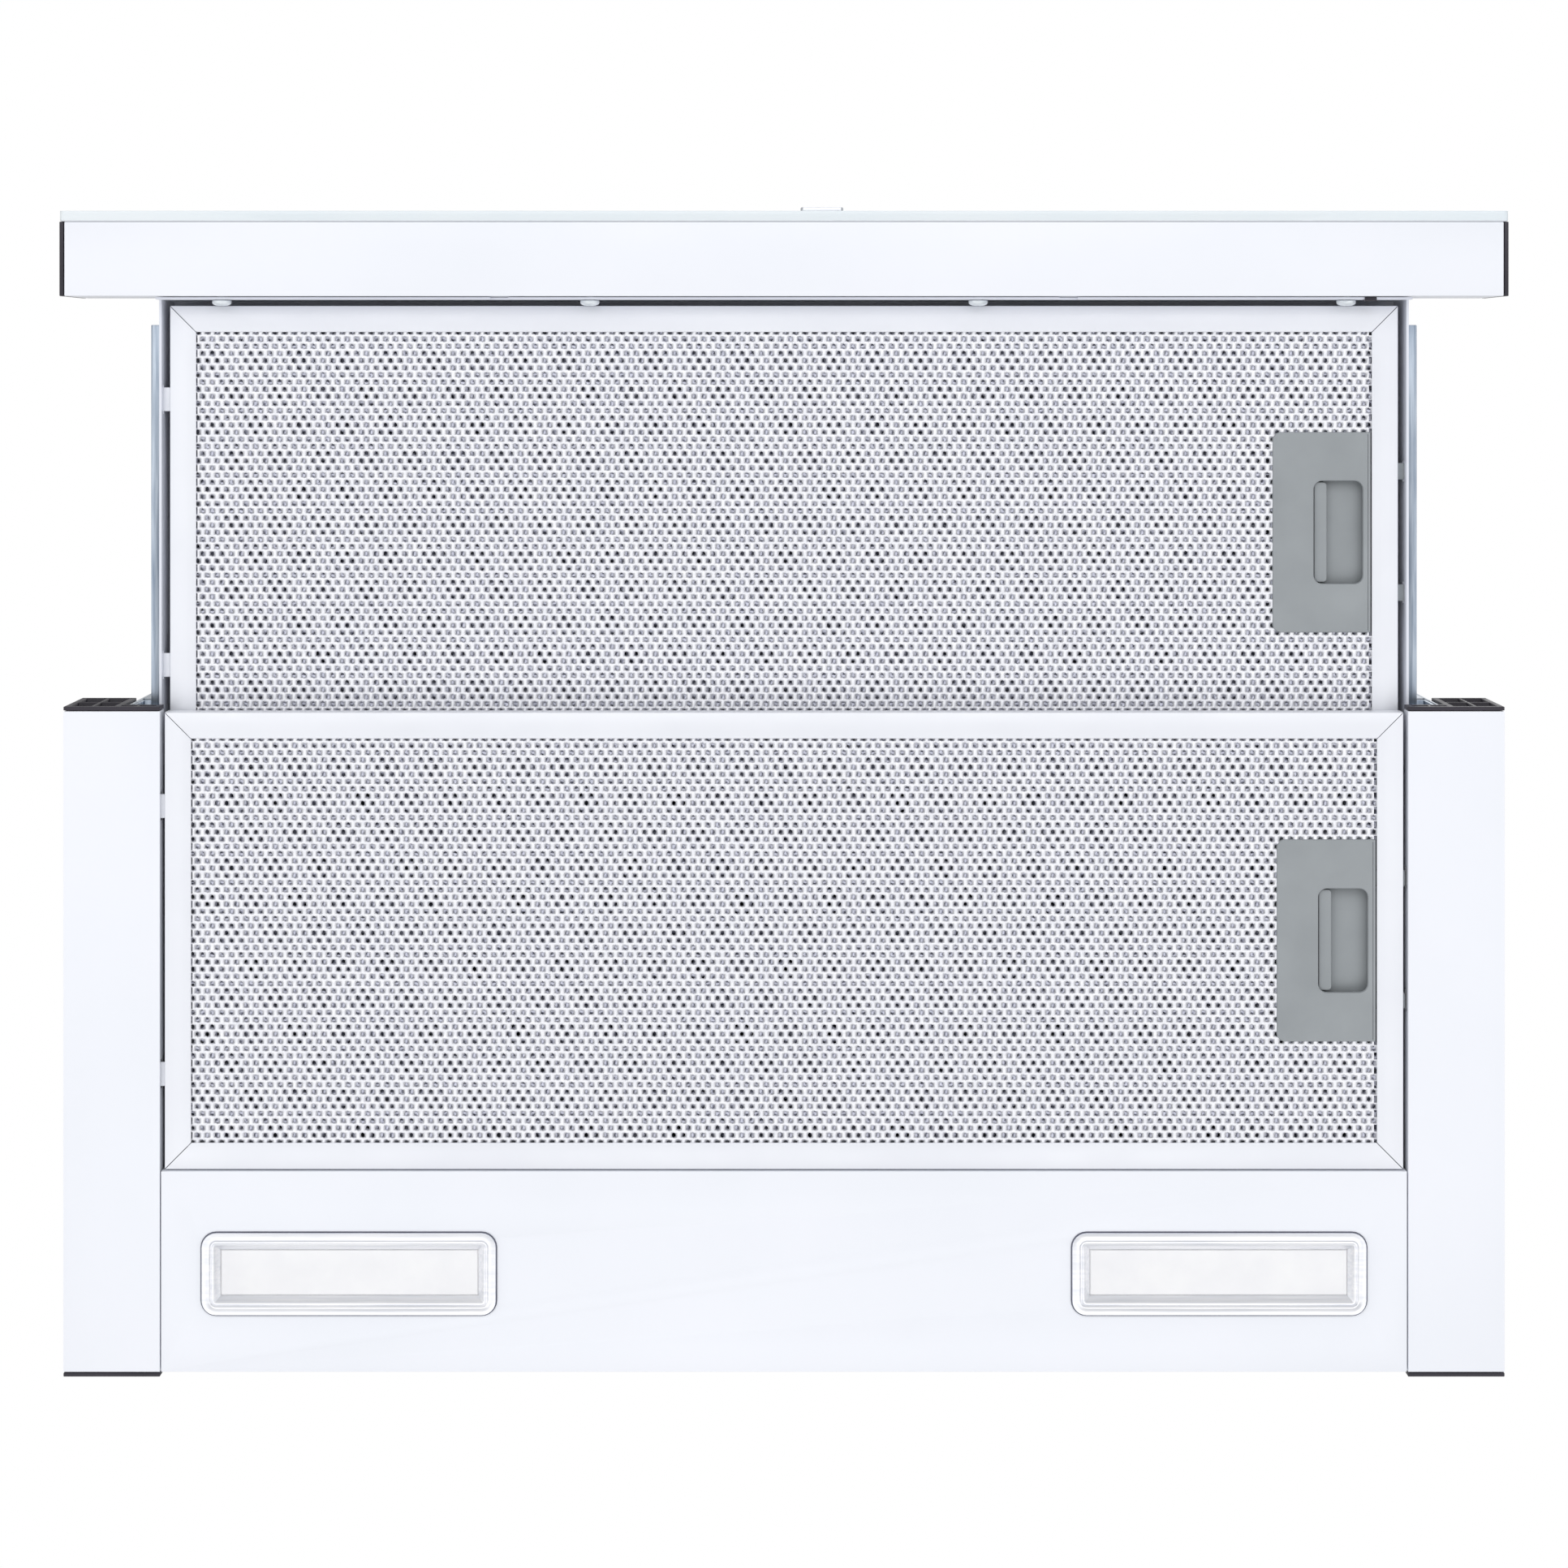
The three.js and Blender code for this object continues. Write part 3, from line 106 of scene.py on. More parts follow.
def cells(tree, scale, stretch=(1, 1, 1)):
    """A random value for each crystal or cell."""
    texture = tree.nodes.new("ShaderNodeTexVoronoi")
    texture.inputs["Scale"].default_value = scale
    tree.links.new(placed(tree, stretch), texture.inputs["Vector"])
    parts = tree.nodes.new("ShaderNodeSeparateColor")
    tree.links.new(texture.outputs["Color"], parts.inputs["Color"])
    return parts.outputs["Red"]


def tint(tree, shader, factor, dark, light, start=NOISE_LOW, end=NOISE_HIGH):
    """The base colour runs from dark to light with a factor."""
    ramp = tree.nodes.new("ShaderNodeValToRGB")
    low, high = ramp.color_ramp.elements
    low.position, low.color = start, srgb(*dark)
    high.position, high.color = end, srgb(*light)
    tree.links.new(factor, ramp.inputs["Fac"])
    tree.links.new(ramp.outputs["Color"], shader.inputs["Base Color"])


def vary(tree, shader, socket, factor, low, high):
    """One of the shader's inputs runs from low to high with a noise."""
    spread = tree.nodes.new("ShaderNodeMapRange")
    spread.inputs["From Min"].default_value = NOISE_LOW
    spread.inputs["From Max"].default_value = NOISE_HIGH
    spread.inputs["To Min"].default_value = low
    spread.inputs["To Max"].default_value = high
    tree.links.new(factor, spread.inputs["Value"])
    tree.links.new(spread.outputs["Result"], shader.inputs[socket])


def relief(tree, shader, factor, height, strength):
    """A relief of that height in millimetres, on top of any relief the shader already has."""
    bump = tree.nodes.new("ShaderNodeBump")
    bump.inputs["Strength"].default_value = strength
    bump.inputs["Distance"].default_value = height * MM
    tree.links.new(factor, bump.inputs["Height"])
    normal = shader.inputs["Normal"]
    if normal.is_linked:
        tree.links.new(normal.links[0].from_socket, bump.inputs["Normal"])
    tree.links.new(bump.outputs["Normal"], normal)


def enamel(name, dark, light):
    """Powder coat: faint mottling, fine orange peel and a satin gloss that isn't quite even."""
    material, tree, shader = new_material(name, Coat_Weight=0.15, Coat_Roughness=0.2)
    tint(tree, shader, noise(tree, 9, detail=5), dark, light)
    vary(tree, shader, "Roughness", noise(tree, 35), 0.32, 0.42)
    relief(tree, shader, noise(tree, 900), 0.012, 0.6)
    relief(tree, shader, noise(tree, 6), 0.15, 0.2)
    return material


def anodised(name, dark, light):
    """Satin white aluminium section with faint drawing lines along it."""
    material, tree, shader = new_material(name, Metallic=0.15, Coat_Weight=0.1)
    tint(tree, shader, noise(tree, 14, detail=5), dark, light)
    vary(tree, shader, "Roughness", noise(tree, 60, (1, 1, 8)), 0.34, 0.46)
    relief(tree, shader, noise(tree, 1500), 0.008, 0.5)
    return material


def moulded(name, dark, light, roughness, grain=0.02):
    """Moulded plastic with a fine spark-eroded grain."""
    material, tree, shader = new_material(name, Specular_IOR_Level=0.45)
    tint(tree, shader, noise(tree, 40, detail=6), dark, light)
    vary(tree, shader, "Roughness", noise(tree, 120), roughness - 0.06, roughness + 0.06)
    relief(tree, shader, noise(tree, 2600, detail=2), grain, 0.7)
    relief(tree, shader, noise(tree, 25), 0.1, 0.15)
    return material


def brushed(name, dark, light, roughness, stretch):
    """Bare metal with fine lines along the axis that stretch leaves short."""
    material, tree, shader = new_material(name, Metallic=1)
    lines = noise(tree, 700, stretch, detail=4)
    tint(tree, shader, lines, dark, light)
    vary(tree, shader, "Roughness", noise(tree, 50, stretch), roughness - 0.08, roughness + 0.08)
    relief(tree, shader, lines, 0.01, 0.5)
    return material


def galvanised(name, dark, light, spangle):
    """Hot-dip zinc: crystals of different lightness and gloss, with fine scratches."""
    material, tree, shader = new_material(name, Metallic=0.9)
    crystals = cells(tree, spangle)
    tint(tree, shader, crystals, dark, light, 0, 1)
    vary(tree, shader, "Roughness", crystals, 0.34, 0.5)
    relief(tree, shader, noise(tree, 300, (1, 12, 1), detail=5), 0.01, 0.4)
    return material


def strand_metal(name, dark, light):
    """Satin light metal, rolled or zinc-plated, with small dull spots."""
    material, tree, shader = new_material(name, Metallic=0.35)
    tint(tree, shader, noise(tree, 420, detail=4), dark, light)
    vary(tree, shader, "Roughness", noise(tree, 260), 0.3, 0.5)
    relief(tree, shader, noise(tree, 1800), 0.02, 0.5)
    return material


def clear_glass(name):
    """Tempered glass: greenish in its depth, with roller waves too faint to see at once."""
    material, tree, shader = new_material(
        name, Transmission_Weight=0.12, IOR=1.51, Specular_IOR_Level=0.5
    )
    tint(tree, shader, noise(tree, 12), (236, 245, 250), (244, 250, 253))
    vary(tree, shader, "Roughness", noise(tree, 80), 0.02, 0.06)
    relief(tree, shader, noise(tree, 3), 0.2, 0.1)
    return material


def opal(name):
    """Milky diffuser with a fine prismatic grain."""
    material, tree, shader = new_material(
        name, Subsurface_Weight=0.4, Subsurface_Radius=(0.004, 0.004, 0.004)
    )
    tint(tree, shader, noise(tree, 60), (241, 241, 243), (247, 247, 248))
    vary(tree, shader, "Roughness", noise(tree, 200), 0.42, 0.55)
    relief(tree, shader, cells(tree, 1300), 0.02, 0.4)
    return material


def board_lacquer(name):
    """Circuit board: green solder mask over darker tracks."""
    material, tree, shader = new_material(name, Coat_Weight=0.4)
    tracks = cells(tree, 260, (1, 0.2, 1))
    tint(tree, shader, tracks, (28, 74, 46), (46, 104, 66), 0.35, 0.4)
    vary(tree, shader, "Roughness", noise(tree, 200), 0.3, 0.5)
    relief(tree, shader, tracks, 0.03, 0.5)
    return material


LONG_X = (0.04, 1, 1)
LONG_Y = (1, 0.04, 1)
RECIPES = {
    "white_enamel": (enamel, (238, 241, 247), (243, 245, 251)),
    "pan_enamel": (enamel, (226, 229, 238), (233, 236, 245)),
    "housing_steel": (galvanised, (186, 192, 199), (202, 207, 213), 150),
    "filter_frame": (anodised, (234, 236, 242), (240, 242, 247)),
    "filter_mesh": (strand_metal, (238, 239, 245), (252, 252, 255)),
    "latch_plastic": (moulded, (147, 152, 155), (156, 161, 164), 0.5),
    "black_plastic": (moulded, (38, 35, 43), (52, 48, 58), 0.48),
    "blower_plastic": (moulded, (52, 53, 58), (66, 67, 72), 0.55),
    "impeller_plastic": (moulded, (126, 130, 134), (142, 146, 150), 0.5),
    "button_plastic": (moulded, (196, 199, 204), (209, 212, 217), 0.4, 0.008),
    "front_glass": (clear_glass,),
    "lamp_bezel": (brushed, (234, 236, 241), (253, 253, 255), 0.34, LONG_X),
    "lamp_diffuser": (opal,),
    "badge_metal": (brushed, (196, 199, 205), (218, 221, 226), 0.3, LONG_X),
    "screw_steel": (strand_metal, (216, 223, 228), (240, 245, 248)),
    "slide_steel": (brushed, (132, 144, 160), (190, 200, 211), 0.32, LONG_Y),
    "cage_steel": (brushed, (150, 156, 164), (184, 190, 198), 0.35, LONG_Y),
    "motor_steel": (galvanised, (120, 124, 130), (150, 154, 160), 300),
    "can_aluminium": (brushed, (196, 199, 204), (222, 224, 228), 0.3, LONG_X),
    "driver_plastic": (moulded, (206, 208, 208), (218, 220, 220), 0.5),
    "circuit_board": (board_lacquer,),
}
FINISHES = {slot: make(slot, *looks) for slot, (make, *looks) in RECIPES.items()}
# The filter's inner mesh layers: the same aluminium as the face, coloured darker and bluer as painted
# shade.
INNER_STRANDS_PAINTED_SHADE = strand_metal("inner_strands_painted_shade", (204, 206, 220), (234, 236, 250))
# Lamp gasket foam in slate grey. Its rim past the bezel doubles as a painted shadow line.
GASKET_FOAM_AND_PAINTED_SHADOW = moulded("gasket_foam", (92, 94, 108), (108, 110, 124), 0.7)
GLASS_PAINT = enamel("glass_paint", (240, 244, 250), (245, 248, 253))


# Building pieces


def smoothing():
    """Smooth shading except over edges sharper than SHARP_ANGLE."""
    group = bpy.data.node_groups.new("smooth_by_angle", "GeometryNodeTree")
    group.interface.new_socket("Mesh", in_out="INPUT", socket_type="NodeSocketGeometry")
    group.interface.new_socket("Mesh", in_out="OUTPUT", socket_type="NodeSocketGeometry")
    start = group.nodes.new("NodeGroupInput")
    end = group.nodes.new("NodeGroupOutput")
    angle = group.nodes.new("GeometryNodeInputMeshEdgeAngle")
    blunt = group.nodes.new("FunctionNodeCompare")
    blunt.data_type = "FLOAT"
    blunt.operation = "LESS_THAN"
    blunt.inputs["B"].default_value = SHARP_ANGLE
    faces = group.nodes.new("GeometryNodeSetShadeSmooth")
    faces.domain = "FACE"
    edges = group.nodes.new("GeometryNodeSetShadeSmooth")
    edges.domain = "EDGE"
    group.links.new(start.outputs[0], faces.inputs["Geometry"])
    group.links.new(faces.outputs["Geometry"], edges.inputs["Geometry"])
    group.links.new(angle.outputs["Unsigned Angle"], blunt.inputs["A"])
    group.links.new(blunt.outputs["Result"], edges.inputs["Shade Smooth"])
    group.links.new(edges.outputs["Geometry"], end.inputs[0])
    return group


SMOOTHING = smoothing()
WELD_DISTANCE = 0.001
BEVEL_ANGLE = math.radians(40)


def soften(piece, radius):
    """Joins a CAD node's loose triangles, rounds its edges and shades it smoothly."""
    weld = piece.modifiers.new("weld", "WELD")
    weld.merge_threshold = WELD_DISTANCE * MM
    bevel = piece.modifiers.new("bevel", "BEVEL")
    bevel.width = radius * MM
    bevel.segments = 2
    bevel.limit_method = "ANGLE"
    bevel.angle_limit = BEVEL_ANGLE
    bevel.miter_outer = "MITER_ARC"
    shade = piece.modifiers.new("shade", "NODES")
    shade.node_group = SMOOTHING


def piece_of(name, mesh, body, slot, nodes=(), material=None):
    """A bmesh in metres as a piece that rides on a body and stands for CAD nodes."""
    bmesh.ops.recalc_face_normals(mesh, faces=mesh.faces)
    data = bpy.data.meshes.new(name)
    mesh.to_mesh(data)
    mesh.free()
    data.shade_smooth()
    data.set_sharp_from_angle(angle=SHARP_ANGLE)
    return piece_with(name, data, body, slot, nodes, material)


def piece_with(name, data, body, slot, nodes=(), material=None):
    """A finished mesh as a piece, in its slot's look unless it has a material of its own."""
    piece = bpy.data.objects.new(name, data)
    bpy.context.scene.collection.objects.link(piece)
    if not data.materials:
        data.materials.append(material or FINISHES[slot])
    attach(piece, body)
    if nodes:
        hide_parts(*nodes)
    return piece


CORNER_STEPS = 6
TIGHTEST_CORNER = 0.15


def rounded_ring(low, high, z, left, right):
    """Points round a rectangle from low to high, whose left and right corners may differ."""
    corners = [
        (high[0] - right, high[1] - right, right),
        (low[0] + left, high[1] - left, left),
        (low[0] + left, low[1] + left, left),
        (high[0] - right, low[1] + right, right),
    ]
    points = []
    for turn, (x, y, radius) in enumerate(corners):
        for step in range(CORNER_STEPS + 1):
            angle = math.radians(90 * (turn + step / CORNER_STEPS))
            points.append((x + radius * math.cos(angle), y + radius * math.sin(angle), z))
    return points


def inset_ring(low, high, inset, z, left, right=None):
    """A rounded rectangle drawn in by an inset, its corners' radii shrinking with it."""
    right = left if right is None else right
    return rounded_ring(
        (low[0] + inset, low[1] + inset),
        (high[0] - inset, high[1] - inset),
        z,
        max(left - inset, TIGHTEST_CORNER),
        max(right - inset, TIGHTEST_CORNER),
    )


def circle(centre, radius, z, sides, flats=0):
    """Points round a circle, or round a polygon with that many flats of that inner radius."""
    points = []
    for i in range(sides):
        angle = 2 * math.pi * i / sides
        reach = radius
        if flats:
            step = 2 * math.pi / flats
            reach = radius / math.cos((angle + step / 2) % step - step / 2)
        points.append((centre[0] + reach * math.cos(angle), centre[1] + reach * math.sin(angle), z))
    return points


def add_shell(mesh, rings, closed=False, turn=Matrix()):
    """Joins rings of points: into a ring bent back on itself if closed, else with end faces."""
    loops = [[mesh.verts.new(turn @ Vector(p) * MM) for p in ring] for ring in rings]
    after = loops[1:] + loops[:1] if closed else loops[1:]
    for lower, upper in zip(loops, after):
        for i in range(len(lower)):
            j = (i + 1) % len(lower)
            mesh.faces.new((lower[i], lower[j], upper[j], upper[i]))
    if not closed:
        mesh.faces.new(loops[0])
        mesh.faces.new(loops[-1])


def around(centre, half):
    """A stretch of an axis that reaches half to each side of a centre."""
    return (centre - half, centre + half)


def above(base, heights):
    """A stretch of the Z axis between two heights over a base."""
    return (base + heights[0], base + heights[1])


def box(x, y, z):
    """A box's low and high corners, from its stretches along the three axes."""
    return tuple(zip(x, y, z))


def add_block(mesh, corners, corner, edge):
    """A box with rounded upright corners and rounded top and bottom edges."""
    low, high = corners
    steps = [(edge, 0), (edge * 0.3, edge * 0.3), (0, edge)]
    rings = [inset_ring(low, high, inset, low[2] + rise, corner) for inset, rise in steps]
    rings += [inset_ring(low, high, inset, high[2] - rise, corner) for inset, rise in steps[::-1]]
    add_shell(mesh, rings)


CUT_PAST = 1


def add_plain_box(mesh, low, high):
    corners = [(low[0], low[1]), (high[0], low[1]), (high[0], high[1]), (low[0], high[1])]
    add_shell(mesh, [[(x, y, z) for x, y in corners] for z in (low[2], high[2])])


def carve(piece, boxes):
    """Takes boxes out of a piece. A box goes CUT_PAST the face that it opens."""
    mesh = bmesh.new()
    for low, high in boxes:
        add_plain_box(mesh, low, high)
    bmesh.ops.recalc_face_normals(mesh, faces=mesh.faces)
    data = bpy.data.meshes.new("cutter")
    mesh.to_mesh(data)
    mesh.free()
    cutter = bpy.data.objects.new("cutter", data)
    bpy.context.scene.collection.objects.link(cutter)
    modifier = piece.modifiers.new("carve", "BOOLEAN")
    modifier.operation = "DIFFERENCE"
    modifier.solver = "EXACT"
    modifier.use_self = True
    modifier.object = cutter
    bpy.context.view_layer.update()
    graph = bpy.context.evaluated_depsgraph_get()
    carved = bpy.data.meshes.new_from_object(piece.evaluated_get(graph))
    piece.modifiers.remove(modifier)
    piece.data = carved
    bpy.data.objects.remove(cutter)
    carved.set_sharp_from_angle(angle=SHARP_ANGLE)


# Finish the CAD nodes that stay

PLAIN_EDGE = 0.25
EDGE_RADII = {
    "white_enamel": 0.45,
    "pan_enamel": 0.3,
    "housing_steel": 0.3,
    "slide_steel": 0.25,
    "cage_steel": 0.2,
    "black_plastic": 0.3,
    "front_glass": 0.35,
    "impeller_plastic": 0.15,
}
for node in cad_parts.values():
    slot = node.data.materials[0].name.split(".")[0]
    node.data.materials[0] = FINISHES[slot]
    soften(node, EDGE_RADII.get(slot, PLAIN_EDGE))


# Grease filters: heights are above the filter's underside, places along it are from its middle

FRAME_SHEET = 1.2
FRAME_RAIL = 11
FRAME_BEND = 0.9
MITRE_GAP = 0.22
HOOK_PLACES = (-55.7, 55.7)
HOOK_HALF = 5
HOOK_HEIGHTS = (2, 3.5)
HOOK_ROOT = 0.4
TONGUE_PLACES = (-25.5, 25.5)
TONGUE_HALF = 3.5
TONGUE_HEIGHTS = (3.4, 6.6)
TONGUE_ROOT = 7
SLOT_HALF = 4.5
SLOT_HEIGHTS = (3.1, 6.9)
SLOT_INTO = 0.5

CELL_X = 4.04
CELL_Y = 3.0
HOLE_X = 0.76
HOLE_SIDE = 0.56
HOLE_TIP = 1.02
HOLE_OUTLINE = [
    (-HOLE_X, -HOLE_SIDE),
    (0, -HOLE_TIP),
    (HOLE_X, -HOLE_SIDE),
    (HOLE_X, HOLE_SIDE),
    (0, HOLE_TIP),
    (-HOLE_X, HOLE_SIDE),
]
HOLE_GROWTH = (0.86, 1.08)
HOLE_UNEVEN = 0.1
STRAND = 0.6
STRAND_TWIST = 0.16

MESH_TUCK = 1.6
FACE_LIFT = 0.75
INNER_LAYERS = {"middle": (3.3, 1.28), "back": (6.9, 1.15)}
LATCH_LAP = 1.2
LATCH_OPENING = 40.5

FILTERS = {
    "rear": {"body": "rear_filter", "hook_tip": 260.7, "seed": 11, "inner_open": 0.9},
    "front": {"body": "drawer", "hook_tip": 261.1, "seed": 23, "inner_open": 0.8},
}


def hole_points(x, y, z, scale, openness, draw):
    """A six-sided hole, each a little different in size and outline."""
    grown = scale * openness * draw.uniform(*HOLE_GROWTH)
    points = []
    for u, v in HOLE_OUTLINE:
        twist = math.copysign(STRAND_TWIST, v) * scale
        uneven = draw.uniform(-HOLE_UNEVEN, HOLE_UNEVEN)
        points.append((x + u * grown, y + v * grown + uneven, z + twist))
    return points


def add_expanded_metal(mesh, area, opening, z, scale, openness, seed):
    """Expanded aluminium: staggered holes between strands with a ridge on each face."""
    draw = random.Random(seed)
    low, high = area
    pitch_x, pitch_y = CELL_X * scale, CELL_Y * scale
    columns = math.ceil((high[0] - low[0]) / pitch_x)
    rows = math.ceil((high[1] - low[1]) / pitch_y)
    ridges = {}

    def ridge(row, place, side):
        key = (row, place, side)
        if key not in ridges:
            x = min(low[0] + place * pitch_x / 2, high[0])
            y = min(low[1] + row * pitch_y, high[1])
            ridges[key] = mesh.verts.new(Vector((x, y, z + side * STRAND * scale)) * MM)
        return ridges[key]

    def add_strands(hole, row, place):
        places = [(row, place), (row, place + 1), (row, place + 2)]
        places += [(row + 1, place + 2), (row + 1, place + 1), (row + 1, place)]
        for i in range(6):
            j = (i + 1) % 6
            for side in (-1, 1):
                outer = [ridge(*places[i], side), ridge(*places[j], side)]
                face = (hole[i], hole[j], outer[1], outer[0])
                mesh.faces.new(face if side > 0 else face[::-1])

    for row in range(rows):
        for column in range(columns - row % 2):
            place = 2 * column + row % 2
            x = low[0] + (place + 1) * pitch_x / 2
            y = low[1] + (row + 0.5) * pitch_y
            if opening[0][0] < x < opening[1][0] and opening[0][1] < y < opening[1][1]:
                continue
            if x + HOLE_X * scale > high[0] or y + HOLE_TIP * scale > high[1]:
                continue
            points = hole_points(x, y, z, scale, openness, draw)
            hole = [mesh.verts.new(Vector(point) * MM) for point in points]
            add_strands(hole, row, place)


def mesh_layer(name, body, area, opening, z, scale, openness, seed, material, nodes=()):
    """One layer of expanded metal as a piece, with an opening for the latch."""
    mesh = bmesh.new()
    add_expanded_metal(mesh, area, opening, z, scale, openness, seed)
    data = bpy.data.meshes.new(name)
    mesh.to_mesh(data)
    mesh.free()
    data.shade_smooth()
    piece_with(name, data, body, "filter_mesh", nodes, material)


def mesh_pack(prefix, body, low, high, seed, inner_open):
    """A bright face layer, and two coarser ones behind it that keep clear of the latch, coloured
    darker and bluer as painted shade.
    """
    middle = (low.y + high.y) / 2
    reach = FRAME_RAIL - MESH_TUCK
    area = ((low.x + reach, low.y + reach), (high.x - reach, high.y - reach))
    latch_low, _ = span(prefix + "_latch_plate")

    def opening(lap):
        return ((latch_low.x + lap, middle - LATCH_OPENING), (high.x, middle + LATCH_OPENING))

    name, node = prefix + "_mesh_face", prefix + "_filter_mesh"
    z = low.z + FRAME_SHEET + FACE_LIFT
    bright = FINISHES["filter_mesh"]
    mesh_layer(name, body, area, opening(LATCH_LAP), z, 1, 1, seed, bright, [node])
    clear = opening(-LATCH_LAP)
    # The inner layers take the painted-shade colour of the same aluminium.
    for layer, (height, scale) in INNER_LAYERS.items():
        name, z = f"{prefix}_mesh_{layer}", low.z + height
        draw_from = seed + int(height)
        mesh_layer(name, body, area, clear, z, scale, inner_open, draw_from, INNER_STRANDS_PAINTED_SHADE)


def rail_profile(thickness):
    """A channel round the mesh, open inwards, as pairs of inset and height."""
    sheet, lip, bend = FRAME_SHEET, FRAME_RAIL, FRAME_BEND
    return [
        (lip - 0.25, 0.25),
        (lip - 0.6, 0.05),
        (lip - 1.1, 0),
        (bend, 0),
        (bend * 0.3, bend * 0.3),
        (0, bend),
        (0, thickness - bend),
        (bend * 0.3, thickness - bend * 0.3),
        (bend, thickness),
        (lip, thickness),
        (lip, thickness - sheet),
        (sheet, thickness - sheet),
        (sheet, sheet),
        (lip - 0.25, sheet),
        (lip, sheet - 0.35),
        (lip, 0.6),
    ]


def add_rails(mesh, low, high):
    """Four channels with mitred ends, a hair's breadth apart."""
    centre = (low + high) / 2
    half = (high - low) / 2
    profile = rail_profile(high.z - low.z)
    for turns in range(4):
        across, along = (half.x, half.y) if turns % 2 == 0 else (half.y, half.x)
        spin = Matrix.Rotation(math.radians(90 * turns), 4, "Z")
        turn = Matrix.Translation((centre.x, centre.y, low.z)) @ spin
        rings = [
            [(across - inset, end * (along - inset - MITRE_GAP), z) for inset, z in profile]
            for end in (-1, 1)
        ]
        add_shell(mesh, rings, turn=turn)


def filter_frame(prefix, body, low, high, hook_tip):
    """The rails, slotted at the right for the latch's tongues, and the hooks at the left."""
    middle = (low.y + high.y) / 2
    mesh = bmesh.new()
    add_rails(mesh, low, high)
    node = prefix + "_filter_frame"
    rails = piece_of(prefix + "_filter_rails", mesh, body, "filter_frame", [node])
    web = (high.x - FRAME_SHEET - SLOT_INTO, high.x + CUT_PAST)
    heights = above(low.z, SLOT_HEIGHTS)
    carve(rails, [box(web, around(middle + y, SLOT_HALF), heights) for y in TONGUE_PLACES])
    mesh = bmesh.new()
    for y in HOOK_PLACES:
        hook = (-hook_tip, -high.x + HOOK_ROOT)
        corners = box(hook, around(middle + y, HOOK_HALF), above(low.z, HOOK_HEIGHTS))
        add_block(mesh, corners, corner=1.2, edge=0.3)
    piece_of(prefix + "_filter_hooks", mesh, body, "filter_frame")


# Filter latches: a LEFT, RIGHT or PLACE is measured in from the cover's right edge

WINDOW_LEFT = 23.9
WINDOW_RIGHT = 3.4
WINDOW_HALF = 21.5
WINDOW_CORNER = 3.5
WINDOW_PROFILE = [(0, 2.1), (0, 1.5), (-0.25, 0.85), (-0.8, 0.6)]
COVER_CORNERS = (3.6, 0.4)
COVER_WALL = 1.2
COVER_SKIN = 2.1
COVER_PROFILE = [(0.9, 0.6), (0.3, 0.75), (0, 1.3)]
COVER_SLOT_HALF = 4.2
COVER_SLOT_SILL = 2.9
GROOVE_PLACE = 1.5
GROOVE_WIDTH = 0.35
GROOVE_HALF = 41
GROOVE_TOP = 0.95
CATCH_RIGHT = 2.4
CATCH_FLOOR = 6.0
CATCH_SHEET = 1.2
CATCH_HALF = 30
GRIP_WIDTH = 5.4
GRIP_HALF = 21
GRIP_GAP = 0.3
GRIP_ROOT = 0.4


def latch_cover(prefix, body, middle, bottom):
    """The cover plate, a tray with a finger window, a moulded groove and slots for the tongues."""
    node = prefix + "_latch_plate"
    low, high = span(node)
    top = high.z - bottom
    outline = COVER_PROFILE + [(0, top), (COVER_WALL, top), (COVER_WALL, COVER_SKIN)]
    window_low = (high.x - WINDOW_LEFT, middle - WINDOW_HALF)
    window_high = (high.x - WINDOW_RIGHT, middle + WINDOW_HALF)
    rings = []
    for inset, z in WINDOW_PROFILE:
        rings.append(inset_ring(window_low, window_high, inset, bottom + z, WINDOW_CORNER))
    for inset, z in outline:
        rings.append(inset_ring(low, high, inset, bottom + z, *COVER_CORNERS))
    mesh = bmesh.new()
    add_shell(mesh, rings, closed=True)
    cover = piece_of(prefix + "_latch_cover", mesh, body, "latch_plastic", [node])
    line = high.x - GROOVE_PLACE
    edge = (line, high.x + CUT_PAST)
    heights = (bottom + COVER_SLOT_SILL, high.z + CUT_PAST)
    cuts = [box(edge, around(middle + y, COVER_SLOT_HALF), heights) for y in TONGUE_PLACES]
    groove = (line, line + GROOVE_WIDTH)
    cuts.append(box(groove, around(middle, GROOVE_HALF), (bottom, bottom + GROOVE_TOP)))
    carve(cover, cuts)


def latch_catch(prefix, middle, bottom):
    """The sprung slider: a floor behind the window, a ridge to pull on and two tongues."""
    _, plate_high = span(prefix + "_latch_plate")
    node = prefix + "_latch_slider"
    low, high = span(node)
    right = plate_high.x - CATCH_RIGHT
    floor_z = bottom + CATCH_FLOOR
    mesh = bmesh.new()
    floor_box = box((low.x, right), around(middle, CATCH_HALF), (floor_z, floor_z + CATCH_SHEET))
    add_block(mesh, floor_box, corner=1.5, edge=0.25)
    left = plate_high.x - WINDOW_LEFT + GRIP_GAP
    heights = (bottom + COVER_SKIN + GRIP_GAP, floor_z + GRIP_ROOT)
    grip = box((left, left + GRIP_WIDTH), around(middle, GRIP_HALF), heights)
    add_block(mesh, grip, corner=1.6, edge=0.6)
    reach = (right - TONGUE_ROOT, high.x)
    for y in TONGUE_PLACES:
        tongue = box(reach, around(middle + y, TONGUE_HALF), above(bottom, TONGUE_HEIGHTS))
        add_block(mesh, tongue, corner=1.2, edge=0.5)
    piece_of(prefix + "_latch_catch", mesh, node, "latch_plastic", [node])


def grease_filter(prefix, body, hook_tip, seed, inner_open):
    low, high = span(prefix + "_filter_frame")
    low.x = -high.x
    middle = (low.y + high.y) / 2
    filter_frame(prefix, body, low, high, hook_tip)
    mesh_pack(prefix, body, low, high, seed, inner_open)
    latch_cover(prefix, body, middle, low.z)
    latch_catch(prefix, middle, low.z)


for prefix, settings in FILTERS.items():
    grease_filter(prefix, **settings)


# Lamps: profiles as pairs of inset and height, from the bezel's outline and underside

